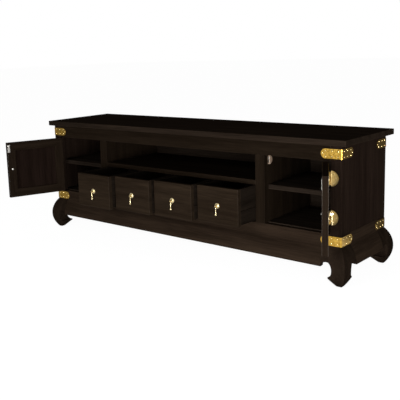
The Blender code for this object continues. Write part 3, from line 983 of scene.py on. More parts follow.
@dataclass
class Carcass:
    """The top, the case's boards, the uprights and the fixings in its back."""

    cabinet: Cabinet
    arris: float = 0.0012
    arris_steps: int = 4
    top_round: float = 0.003
    runner_height: float = 0.0107
    runner_reach: float = 0.006
    runner_drop: float = 0.0863  # from the drawer's top edge
    runner_arris: float = 0.0006
    partition_thickness: float = 0.010
    screw: Dome = Dome(0.0036, 0.0009)
    screw_count: int = 8
    screw_inset: float = 0.018

    def build(self) -> None:
        """Builds every board of the case."""
        for node in ("front_top_rail", "middle_shelf"):
            self.add_board(node, CASE_WOOD, Grain.ACROSS, self.arris)
        # The corner stiles take the end panels' lighter finish: painted light where the open doors shade
        # them.
        for side in Side:
            for node in (f"corner_stile_{side.word}", f"side_panel_{side.word}"):
                self.add_board(node, END_WOOD, Grain.UPRIGHT, self.arris)
        for node in ("bottom_board", "back_panel", "side_shelf_left", "side_shelf_right"):
            self.add_board(node, INNER_WOOD, Grain.ACROSS, self.arris)
        self.add_board("top_panel", TOP_WOOD, Grain.ACROSS, self.top_round)
        for side in Side:
            self.add_divider(side)
        for number in (1, 2, 3):
            self.add_partition(number)
        self.add_back_screws()

    def add_board(self, node: str, finish: WoodFinish, grain: Grain, arris: float) -> None:
        """Dresses one rectangular board.

        Args:
            node: The board's node.
            finish: Its finish.
            grain: The way its fibres run.
            arris: How far its edges are rounded.
        """
        mesh = board(*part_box(node), arris, self.arris_steps)
        self.cabinet.add(f"{node}_wood", mesh, finish.laid(grain), node, True)

    def add_upright(self, node: str, shells: list[Mesh], grain: Grain) -> None:
        """Puts up one of the case's uprights with its runners."""
        self.cabinet.add(f"{node}_wood", united(shells), CASE_WOOD.laid(grain), node, True)

    def upright_outline(self, low: Vector, high: Vector) -> list[Point]:
        """The part of an upright's outline that follows the bottom board and the back.

        Args:
            low: The upright's lowest corner.
            high: Its highest corner.

        Returns:
            Corners in Y and Z, from the front's foot to the top of the back.
        """
        behind = self.behind_rail()
        board_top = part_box("bottom_board")[1].z + SEAT
        foot = [(low.y, low.z), (behind, low.z), (behind, board_top)]
        return foot + [(high.y, board_top), (high.y, high.z)]

    def behind_rail(self) -> float:
        """Where the uprights start behind the front rail."""
        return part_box("front_top_rail")[1].y + SEAT

    def runner(self, face: float, way: int) -> Mesh:
        """A drawer runner planted on an upright.

        Args:
            face: Where the upright's face is.
            way: The way that the runner points in X.

        Returns:
            The runner's mesh.
        """
        drawer_low, drawer_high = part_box("drawer_1")
        shelf_low, shelf_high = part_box("middle_shelf")
        top = drawer_high.z - self.runner_drop
        front = shelf_low.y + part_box("drawer_pull_1")[1].y - drawer_low.y
        ends = sorted((face + way * SEAT, face + way * self.runner_reach))
        low = (ends[0], front, top - self.runner_height)
        return board(low, (ends[1], shelf_high.y, top), self.runner_arris)

    def add_divider(self, side: Side) -> None:
        """Dresses one of the uprights between the bays.

        Args:
            side: The upright's side.
        """
        node = f"divider_{side.word}"
        low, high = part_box(node)
        behind = self.behind_rail()
        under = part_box("front_top_rail")[0].z - SEAT
        outline = self.upright_outline(low, high)
        outline += [(behind, high.z), (behind, under), (low.y, under)]
        way = -side.value
        ends = [low.x, high.x]
        inner = 1 if way > 0 else 0
        ends[inner] -= way * self.runner_reach
        shells = [prism(outline, 0, ends[0], ends[1], self.arris), self.runner(ends[inner], way)]
        self.add_upright(node, shells, Grain.UPRIGHT)

    def add_partition(self, number: int) -> None:
        """Dresses one of the uprights between the drawers.

        Args:
            number: Which one it is, counted from the left.
        """
        node = f"drawer_partition_{number}"
        low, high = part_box(node)
        middle = (low.x + high.x) / 2
        half = self.partition_thickness / 2
        outline = self.upright_outline(low, high) + [(low.y, high.z)]
        shells = [prism(outline, 0, middle - half, middle + half, self.arris)]
        shells += [self.runner(middle + way * half, way) for way in (-1, 1)]
        self.add_upright(node, shells, Grain.DEEP)

    def add_back_screws(self) -> None:
        """Screws that hold the back panel to the case."""
        low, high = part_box("back_panel")
        margin = self.screw_inset
        span = high.x - low.x - 2 * margin
        spots = []
        for index in range(self.screw_count):
            across = low.x + margin + span * index / (self.screw_count - 1)
            spots += [(across, high.y, low.z + margin), (across, high.y, high.z - margin)]
        heads = united(self.screw.heads(spots, FACING_BACK))
        self.cabinet.add("back_panel_screws", heads, ZINC, "back_panel")


@dataclass
class Base:
    """Four scrolled legs and four swelling aprons."""

    cabinet: Cabinet
    swell: float = 0.031
    swell_middle: float = 0.0765
    swell_top: float = 0.162
    foot_tuck: float = 0.026
    apron_bottom: float = 0.080
    apron_thickness: float = 0.025
    leg_width: float = 0.077
    wing_thickness: float = 0.014
    post_width: float = 0.030
    pocket_floor: float = 0.062
    arch_centre: float = 0.050
    arch_half_width: float = 0.022
    arch_middle: float = 0.0695
    arch_top: float = 0.102
    toe_height: float = 0.037
    toe_turn: float = math.radians(85)
    toe_edge: float = 0.005
    pad_inner_edge: float = 0.016
    arris: float = 0.0015
    arris_steps: int = 3
    swell_steps: int = 28
    arch_steps: int = 12

    def build(self) -> None:
        """Builds the legs and the aprons."""
        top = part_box("apron_front")[1].z
        leg = self.leg_mesh(top)
        for depth in Depth:
            for side in Side:
                node = f"leg_{depth.word}_{side.word}"
                mesh = placed(leg, corner_place(*self.corners(), 0.0, side, depth))
                self.cabinet.add(f"{node}_wood", mesh, LEG_WOOD.laid(Grain.UPRIGHT), node, True)
        self.add_aprons(top)

    def corners(self) -> tuple[Vector, Vector]:
        """The carcass's outer corners, which the legs and aprons stand under."""
        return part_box("corner_stile_left")[0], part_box("side_panel_right")[1]

    def outward(self, height: float) -> float:
        """How far the base stands out past the carcass.

        Args:
            height: The height to look at.

        Returns:
            The distance from the carcass's face, less than nothing where the foot tucks in.
        """
        if height >= self.swell_top:
            return 0.0
        upper = height >= self.swell_middle
        fall = self.swell if upper else self.foot_tuck
        reach = self.swell_top - self.swell_middle if upper else self.swell_middle
        radius = (fall**2 + reach**2) / (2 * fall)
        return self.swell - radius + math.sqrt(radius**2 - (height - self.swell_middle) ** 2)

    def wall(self, start: float, end: float, steps: int, inside: float = 0.0) -> list[Point]:
        """A line that follows the swelling between two heights.

        Args:
            start: The first height.
            end: The last height.
            steps: How many stretches lie between them.
            inside: How far the line lies inside the outer face.

        Returns:
            Points of (distance in from the carcass's face, height).
        """
        heights = [start + (end - start) * step / steps for step in range(steps + 1)]
        return [(inside - self.outward(height), height) for height in heights]

    def leg_outline(self, top: float) -> list[Point]:
        """A leg seen square on: swelling outside, bracket and arch inside, toe, sole and pad.

        Args:
            top: The height of the base.

        Returns:
            The outline's points.
        """
        outer = [(0.0, top)] + self.wall(self.swell_top, 0.0, self.swell_steps)
        sole = [(self.pad_inner_edge, 0.0)]
        cusp_radii = (self.leg_width - self.arch_centre, self.arch_top - self.apron_bottom)
        cusp = arc((self.arch_centre, self.apron_bottom), cusp_radii, 0.0, QUARTER, self.arch_steps)
        centre = (self.arch_centre, self.arch_middle)
        upper_radii = (self.arch_half_width, self.arch_top - self.arch_middle)
        ankle = arc(centre, upper_radii, QUARTER, 2 * QUARTER, self.arch_steps)
        lower_radii = (self.arch_half_width, self.arch_middle - self.toe_height)
        toe = arc(centre, lower_radii, 2 * QUARTER, 2 * QUARTER + self.toe_turn, self.arch_steps)
        tip = (toe[-1][0], toe[-1][1] - self.toe_edge)
        inner = [(self.leg_width, top)] + cusp + ankle[1:] + toe[1:] + [tip]
        return outer + sole + inner[::-1]

    def hollow_outline(self, reach: float, above: float) -> list[Point]:
        """The hollow behind a leg's wing, which follows the swelling outside.

        Args:
            reach: How far in the cutter runs.
            above: How high it runs.

        Returns:
            The hollow's outline.
        """
        wall = self.wall(self.pocket_floor, self.swell_top, self.arch_steps, self.wing_thickness)
        return wall + [(self.wing_thickness, above), (reach, above), (reach, self.pocket_floor)]

    def leg_mesh(self, top: float) -> Mesh:
        """A leg sawn to one outline on both faces, hollowed inside and rebated for the bottom board.

        Args:
            top: The height of the base.

        Returns:
            The front left leg, with its corner at the origin.
        """
        outline = self.leg_outline(top)
        reach = self.leg_width + CUT_OVER
        above = top + CUT_OVER
        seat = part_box("bottom_board")[0].z - SEAT
        sawn = combined(prism(outline, 1, -reach, reach), prism(outline, 0, -reach, reach), Operation.SHARE)
        hollow = self.hollow_outline(reach, above)
        cutters = [prism(hollow, axis, self.post_width, reach) for axis in (0, 1)]
        shoulder = (self.apron_thickness, self.apron_thickness, seat)
        cutters.append(to_mesh(board_shape(shoulder, (reach, reach, above))))
        for cutter in cutters:
            sawn = combined(sawn, cutter, Operation.CUT)
        shape = new_shape(sawn)
        bmesh.ops.remove_doubles(shape, verts=shape.verts, dist=MERGE)
        corner = [edge for edge in sharp_edges(shape) if all(self.on_corner(vert.co) for vert in edge.verts)]
        round_edges(shape, corner, self.arris, self.arris_steps)
        return to_mesh(shape)

    def on_corner(self, place: Vector) -> bool:
        """Whether a point lies on the leg's outer corner line."""
        return abs(place.x - place.y) < MERGE and abs(place.x + self.outward(place.z)) < NEAR

    def add_aprons(self, top: float) -> None:
        """Builds the four aprons between the legs.

        Args:
            top: The height of the base.
        """
        low, high = self.corners()
        middle = (low + high) / 2
        outer = [(0.0, top)] + self.wall(self.swell_top, self.apron_bottom, self.swell_steps)
        inner = [(out + self.apron_thickness, height) for out, height in outer]
        outline = outer + inner[::-1]
        across = (high.x - low.x) / 2 - self.leg_width - SEAT
        along = (high.y - low.y) / 2 - self.leg_width - SEAT
        places = (
            ("front", across, (middle.x, low.y, 0), 0.0, Grain.ACROSS),
            ("back", across, (middle.x, high.y, 0), math.pi, Grain.ACROSS),
            ("left", along, (low.x, middle.y, 0), -QUARTER, Grain.DEEP),
            ("right", along, (high.x, middle.y, 0), QUARTER, Grain.DEEP),
        )
        for name, half, place, turn, grain in places:
            node = f"apron_{name}"
            plain = prism(outline, 0, -half, half, self.arris)
            mesh = placed(plain, Matrix.Translation(place) @ Matrix.Rotation(turn, 4, "Z"))
            self.cabinet.add(f"{node}_wood", mesh, APRON_WOOD.laid(grain), node, True)


@dataclass
class Strap:
    """A brass corner strap: two round-ended plates joined by a rounded fold, with dome-headed pins."""

    cabinet: Cabinet
    level: Level
    depth: Depth
    side: Side
    thickness: float = 0.0015
    fold: float = 0.0032  # outer radius at the corner
    fold_steps: int = 8
    rim: Rim = Rim()
    end_steps: int = 24
    pin: Dome = Dome(0.0033, 0.0026)
    pin_edge: float = 0.0085  # from the plate's long edges
    pin_tip: float = 0.0080  # from the round end
    pin_rows: Triple = (0.0205, 0.049, 0.076)  # from the round end

    def build(self) -> None:
        """Builds the strap's plates and pins in place."""
        node = f"strap_{self.level.word}_{self.depth.word}_{self.side.word}"
        low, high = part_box(node)
        length = high.x - low.x
        half = (high.z - low.z) / 2
        place = corner_place(low, high, (low.z + high.z) / 2, self.side, self.depth)
        swap = Matrix(((0, 1, 0, 0), (1, 0, 0, 0), (0, 0, 1, 0), (0, 0, 0, 1)))
        faces = (place, place @ swap)
        plate = self.plate(length, half)
        plates = united([placed(plate, face) for face in faces] + [placed(self.fold_mesh(half), place)])
        self.cabinet.add(f"{node}_plate", plates, CHASED_BRASS, node, True)
        pins = self.pins(length, half)
        heads = united([placed(pins, face) for face in faces])
        self.cabinet.add(f"{node}_pins", heads, POLISHED_BRASS, node)

    def fold_mesh(self, half: float) -> Mesh:
        """The rounded fold of a front left strap.

        Args:
            half: Half the strap's height.

        Returns:
            The fold's mesh.
        """
        centre = (self.fold, self.fold)
        inner = self.fold - self.thickness
        outline = arc(centre, centre, 2 * QUARTER, 3 * QUARTER, self.fold_steps)
        outline += arc(centre, (inner, inner), 3 * QUARTER, 2 * QUARTER, self.fold_steps)
        return prism(outline, 2, -half, half)

    def plate(self, length: float, half: float) -> Mesh:
        """One plate of a front left strap, in the plane y = 0, from the fold on.

        Args:
            length: From the corner to the round end.
            half: Half the plate's height.

        Returns:
            The plate's mesh.
        """
        end = arc((length - half, 0.0), (half, half), -QUARTER, QUARTER, self.end_steps)
        outline = [(self.fold, -half)] + end + [(self.fold, half)]
        return self.rim.plate(outline, 0.0, self.thickness)

    def pins(self, length: float, half: float) -> Mesh:
        """The pins of one plate, along its edges and at its tip.

        Args:
            length: From the corner to the round end.
            half: Half the plate's height.

        Returns:
            The pins' mesh.
        """
        row = half - self.pin_edge
        marks = [(self.pin_tip, 0.0)] + [(along, way * row) for along in self.pin_rows for way in (-1, 1)]
        spots = [(length - along, self.rim.sink, up) for along, up in marks]
        return united(self.pin.heads(spots, FACING_FRONT))


@dataclass
class Hinge:
    """A half-moon butt hinge: a leaf on the stile, a leaf on the door, and their pins."""

    cabinet: Cabinet
    side: Side
    level: Level
    door_place: Matrix
    radius: float = 0.032
    thickness: float = 0.002
    knuckle_radius: float = 0.004
    knuckle_reach: float = 0.026
    knuckle_middle: float = 0.009
    knuckle_gap: float = 0.0005
    knuckle_round: float = 0.0006
    clearance: float = 0.001
    pin_radius: float = 0.0018
    finial_radius: float = 0.0027
    finial_rise: float = 0.003
    finial_steps: int = 5
    rim: Rim = Rim(sink=0.0005, arris=0.0004)
    stud: Dome = Dome(0.0024, 0.0016)
    stud_reach: float = 0.0225
    stud_spread: float = 0.62 * QUARTER  # from the middle stud to the next
    steps: int = 40
    round_steps: int = 28

    def build(self) -> None:
        """Builds both leaves of the hinge."""
        mirror = Matrix.Diagonal((self.side.value, 1, 1, 1))
        ends = f"{self.level.word}_{self.side.word}"
        fixed = f"hinge_leaf_fixed_{ends}"
        moving = f"hinge_leaf_door_{ends}"
        low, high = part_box(fixed)
        rise = (low.z + high.z) / 2 - self.door_place.translation.z
        still = Matrix.Translation(self.door_place.translation + Vector((0, 0, rise))) @ mirror
        swung = self.door_place @ Matrix.Translation((0, 0, rise)) @ mirror
        self.cabinet.add(f"{fixed}_brass", placed(self.fixed_leaf(), still), PALE_BRASS, fixed, True)
        self.cabinet.add(f"{fixed}_knuckles", placed(self.fixed_knuckles(), still), SHADE_PAINTED_BRASS, fixed)
        self.cabinet.add(f"{moving}_brass", placed(self.door_leaf(), swung), PALE_BRASS, moving, True)
        middle = self.knuckle(-self.knuckle_middle, self.knuckle_middle)
        self.cabinet.add(f"{moving}_knuckle", placed(middle, swung), SHADE_PAINTED_BRASS, moving)

    def leaf_edge(self) -> float:
        """How far a leaf's straight edge is from the axis."""
        return self.knuckle_radius + self.clearance

    def leaf_face(self) -> float:
        """Where a leaf's outer face is."""
        return self.knuckle_radius - self.thickness

    def plate(self, tabs: list[Point]) -> Mesh:
        """A half-moon plate beside the hinge's axis.

        Args:
            tabs: Lower and upper ends of the tabs that reach the axis.

        Returns:
            The plate's mesh, with a raised rim on its outer face.
        """
        edge = self.leaf_edge()
        face = self.leaf_face()
        back = self.knuckle_radius
        moon = arc((edge, 0.0), (self.radius, self.radius), -QUARTER, QUARTER, self.steps)
        shells = [self.rim.plate(moon, face, back)]
        for low, high in tabs:
            shells.append(board((self.knuckle_radius / 2, face, low), (edge, back, high), self.rim.arris))
        return united(shells)

    def knuckle(self, low: float, high: float) -> Mesh:
        """A round knuckle about the axis, with eased ends.

        Args:
            low: Its lower end.
            high: Its upper end.

        Returns:
            The knuckle's mesh.
        """
        ease = self.knuckle_round
        radius = self.knuckle_radius
        lower = [(low, 0.0), (low, radius - ease), (low + ease, radius)]
        upper = [(high - ease, radius), (high, radius - ease), (high, 0.0)]
        return turned(lower + upper, 2, self.round_steps)

    def studs(self, way: int) -> list[Mesh]:
        """Three dome-headed pins on a leaf's face.

        Args:
            way: The side of the axis that the leaf lies on.

        Returns:
            The pins' meshes.
        """
        spots = []
        for turn in (-self.stud_spread, 0.0, self.stud_spread):
            across = way * (self.leaf_edge() + self.stud_reach * math.cos(turn))
            spots.append((across, self.leaf_face() + self.rim.sink, self.stud_reach * math.sin(turn)))
        return self.stud.heads(spots, FACING_FRONT)

    def fixed_spans(self) -> list[Point]:
        """Lower and upper ends of the stile leaf's two knuckles."""
        inner = self.knuckle_middle + self.knuckle_gap
        return [(inner, self.knuckle_reach), (-self.knuckle_reach, -inner)]

    def fixed_leaf(self) -> Mesh:
        """The stile's half of a right-hand hinge."""
        return united([self.plate(self.fixed_spans())] + self.studs(1))

    def fixed_knuckles(self) -> Mesh:
        """The stile leaf's knuckles, with the pin and its finials."""
        shells = [self.knuckle(low, high) for low, high in self.fixed_spans()]
        return united(shells + [self.knuckle_pin()])

    def knuckle_pin(self) -> Mesh:
        """The pin that runs through the knuckles, with a small button at each end.

        Returns:
            The pin's mesh.
        """
        reach = self.knuckle_reach + SEAT
        radii = (self.finial_rise, self.finial_radius)
        button = arc((reach, 0.0), radii, QUARTER, 0.0, self.finial_steps)
        button[-1] = (button[-1][0], 0.0)
        profile = [(-along, radius) for along, radius in button[::-1]]
        profile += [(-reach, self.pin_radius), (reach, self.pin_radius)] + button
        return turned(profile, 2, self.round_steps // 2)

    def door_leaf(self) -> Mesh:
        """The door's half of a right-hand hinge."""
        plate = self.plate([(-self.knuckle_middle, self.knuckle_middle)])
        return united([placed(plate, Matrix.Diagonal((-1, 1, 1, 1)))] + self.studs(-1))


@dataclass
class DropPull:
    """A brass drop pull: rosette, neck, fork and pin, a hanging drop, and a nut behind the front."""

    cabinet: Cabinet
    prefix: str
    suffix: str
    front_thickness: float
    reach: float = 0.012  # from the face to the drop's pin
    rosette_radius: float = 0.0122
    rosette_rise: float = 0.0045
    # the rosette's mouldings, as (ahead of the face, in from the edge)
    rosette_steps: tuple[Point, ...] = (
        (0.0, 0.0008), (0.0008, 0.0), (0.0018, 0.0004), (0.0022, 0.0016), (0.0016, 0.0030), (0.0026, 0.0055)
    )
    crown_steps: tuple[Point, ...] = ((0.0, 0.0058), (0.0006, 0.0046))  # (ahead of the crown, radius)
    neck_start: float = 0.0008  # ahead of the crown
    neck_radius: float = 0.0032
    fork_half_width: float = 0.0029
    fork_half_height: float = 0.0040
    fork_back: float = 0.0022
    fork_room: float = 0.0045
    fork_round: float = 0.0030
    fork_round_steps: int = 5
    slot_half: float = 0.0014
    pin_radius: float = 0.0012
    pin_head: float = 0.0004
    eye_radius: float = 0.0038
    eye_half_width: float = 0.0012
    eye_overlap: float = 0.001  # how far the drop's neck runs into the eye
    eye_steps: int = 10
    drop_length: float = 0.042
    drop_neck_radius: float = 0.0013
    neck_length: float = 0.0068
    # the collar's mouldings, as (above the neck's end, out from the neck)
    collar_steps: tuple[Point, ...] = ((0.0022, 0.0), (0.0014, 0.0012), (0.0002, 0.0012), (-0.0006, 0.0))
    stem_radius: float = 0.0017
    stem_start: float = 0.004  # below the neck's end
    stem_end: float = 0.030
    bulb_radius: float = 0.0047
    bulb_steps: int = 14
    shoulder: float = math.radians(40)
    stud_radius: float = 0.002
    stud_tip_rise: float = 0.0004
    washer_radius: float = 0.0052
    washer_thickness: float = 0.0008
    washer_ease: float = 0.0002
    nut_radius: float = 0.0038
    nut_height: float = 0.0026
    nut_arris: float = 0.0004
    nut_sides: int = 6
    steps: int = 28

    def place(self) -> Matrix:
        """Where the drop's pin is, with Y into the front and Z up.

        Returns:
            The place.
        """
        joint = self.cabinet.joints[f"{self.prefix}_drop_{self.suffix}_swing"]
        across = -Vector(joint["axis"]).normalized()
        up = Vector((0, 0, 1))
        inward = up.cross(across)
        turn = Matrix((across, inward, up)).transposed().to_4x4()
        return Matrix.Translation(Vector(joint["pos_m"])) @ turn

    def build(self) -> None:
        """Builds the pull, its drop and its nut."""
        pull = f"{self.prefix}_pull_{self.suffix}"
        drop = f"{self.prefix}_drop_{self.suffix}"
        place = self.place()
        self.cabinet.add(f"{pull}_brass", placed(self.pull_mesh(), place), PALE_BRASS, pull, True)
        self.cabinet.add(f"{drop}_brass", placed(self.drop_mesh(), place), PALE_BRASS, drop, True)
        self.cabinet.add(f"{pull}_nut", placed(self.nut_mesh(), place), BRIGHT_STEEL, pull)

    def stud_end(self) -> float:
        """Where the stud comes out behind the front."""
        return self.reach + self.front_thickness

    def pull_mesh(self) -> Mesh:
        """Rosette, neck and stud in one turned piece, with the fork and the pin.

        Returns:
            The pull's mesh.
        """
        face = self.reach - SEAT
        crown = self.reach - self.rosette_rise
        fork_back = self.fork_room + self.fork_back
        neck_end = (self.fork_room + fork_back) / 2
        profile = [(self.stud_end(), 0.0), (self.stud_end(), self.stud_radius), (face, self.stud_radius)]
        profile += [(face - ahead, self.rosette_radius - inside) for ahead, inside in self.rosette_steps]
        profile += [(crown - ahead, radius) for ahead, radius in self.crown_steps]
        profile += [(crown - self.neck_start, self.neck_radius), (neck_end, self.neck_radius)]
        profile.append((neck_end, 0.0))
        return united([turned(profile, 1, self.steps), self.fork_mesh(fork_back), self.pin_mesh()])

    def fork_mesh(self, fork_back: float) -> Mesh:
        """The fork that holds the pin, rounded at its ends.

        Args:
            fork_back: Where its back is.

        Returns:
            The fork's mesh.
        """
        wide = self.fork_half_width
        slot = self.slot_half
        front = -self.fork_half_height
        right = [(wide, fork_back), (wide, front), (slot, front), (slot, self.fork_room)]
        left = [(-across, deep) for across, deep in right]
        shape = prism_shape([left[0]] + right + left[:0:-1], 2, -self.fork_half_height, self.fork_half_height)
        ends = [
            edge
            for edge in sharp_edges(shape)
            if all(abs(vert.co.y - front) < MERGE for vert in edge.verts)
            and abs(edge.verts[0].co.z - edge.verts[1].co.z) < MERGE
        ]
        round_edges(shape, ends, self.fork_round, self.fork_round_steps)
        return to_mesh(shape)

    def pin_mesh(self) -> Mesh:
        """The drop's pin, which stands a little out of each cheek.

        Returns:
            The pin's mesh.
        """
        end = self.fork_half_width + self.pin_head
        profile = [(-end, 0.0), (-end, self.pin_radius), (end, self.pin_radius), (end, 0.0)]
        return turned(profile, 0, self.steps // 2)

    def drop_mesh(self) -> Mesh:
        """A turned drop with an eye around the pin.

        Returns:
            The drop's mesh.
        """
        top = -self.eye_radius + self.eye_overlap
        neck = self.drop_neck_radius
        centre = (-self.drop_length + self.bulb_radius, 0.0)
        radii = (self.bulb_radius, self.bulb_radius)
        bulb = arc(centre, radii, QUARTER - self.shoulder, math.pi, self.bulb_steps)
        collar = -self.neck_length
        profile = [(top, 0.0), (top, neck)]
        profile += [(collar + above, neck + out) for above, out in self.collar_steps]
        profile += [(collar - self.stem_start, self.stem_radius), (-self.stem_end, self.stem_radius)]
        profile += bulb[:-1] + [(-self.drop_length, 0.0)]
        return united([turned(profile, 2, self.steps), self.eye_mesh()])

    def eye_mesh(self) -> Mesh:
        """The ring that turns on the pin.

        Returns:
            The ring's mesh.
        """
        bore = self.pin_radius + SEAT
        middle = (bore + self.eye_radius) / 2
        radii = (self.eye_half_width, self.eye_radius - middle)
        ring = arc((0.0, middle), radii, 0.0, FULL, self.eye_steps)[:-1]
        return turned(ring, 0, self.steps, closed=True)

    def nut_mesh(self) -> Mesh:
        """A washer and a six-sided nut on the stud, behind the front.

        Returns:
            The mesh of both, with the stud's tip.
        """
        back = self.stud_end()
        radius = self.washer_radius
        washer_end = back + self.washer_thickness
        washer = [(back + SEAT, 0.0), (back + SEAT, radius), (washer_end - self.washer_ease, radius)]
        washer += [(washer_end, radius - self.washer_ease), (washer_end, 0.0)]
        hexagon = arc((0.0, 0.0), (self.nut_radius, self.nut_radius), 0.0, FULL, self.nut_sides)[:-1]
        nut_end = washer_end + self.nut_height
        nut = prism(hexagon, 1, washer_end, nut_end, self.nut_arris)
        tip = Dome(self.stud_radius, self.stud_tip_rise).heads([(0, nut_end - SEAT, 0)], FACING_BACK)
        return united([turned(washer, 1, self.steps), nut] + tip)


@dataclass
class Drawer:
    """One drawer: a plain front on an open box with runner grooves."""

    cabinet: Cabinet
    number: int
    front_thickness: float = 0.020
    wall: float = 0.012
    floor_thickness: float = 0.006
    floor_rise: float = 0.006
    front_drop: float = 0.0045
    groove_drop: float = 0.086
    groove_height: float = 0.012
    groove_depth: float = 0.005
    arris: float = 0.0014
    arris_steps: int = 4
    inner_arris: float = 0.0008

    def build(self) -> None:
        """Builds the front, the box and the pull."""
        node = f"drawer_{self.number}"
        low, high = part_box(node)
        front_back = low.y + self.front_thickness
        front = board(low, (high.x, front_back, high.z), self.arris, self.arris_steps)
        self.cabinet.add(f"{node}_front", front, FRONT_WOOD.laid(Grain.ACROSS), node, True)
        box = self.box_mesh(low, high, front_back)
        self.cabinet.add(f"{node}_box", box, BOX_WOOD.laid(Grain.DEEP), node)
        DropPull(self.cabinet, "drawer", str(self.number), self.front_thickness).build()

    def box_mesh(self, low: Vector, high: Vector, front_back: float) -> Mesh:
        """The sides, back and floor behind the front.

        Args:
            low: The drawer's lowest corner.
            high: Its highest corner.
            front_back: Where the front's inner face is.

        Returns:
            The box's mesh.
        """
        start = front_back + SEAT
        bottom = low.z + self.front_drop
        groove_top = high.z - self.groove_drop
        groove_bottom = groove_top - self.groove_height
        shells = []
        for outer, way in ((low.x, 1), (high.x, -1)):
            deep = outer + way * self.groove_depth
            inner = outer + way * self.wall
            section = [(outer, bottom), (outer, groove_bottom), (deep, groove_bottom), (deep, groove_top)]
            section += [(outer, groove_top), (outer, high.z), (inner, high.z), (inner, bottom)]
            shells.append(prism(section, 1, start, high.y, self.inner_arris))
        left = low.x + self.wall + SEAT
        right = high.x - self.wall - SEAT
        back = high.y - self.wall
        floor = bottom + self.floor_rise
        shells.append(board((left, back, bottom), (right, high.y, high.z), self.inner_arris))
        floor_top = (right, back - SEAT, floor + self.floor_thickness)
        shells.append(board((left, start, floor), floor_top, SEAT, 1))
        return united(shells)


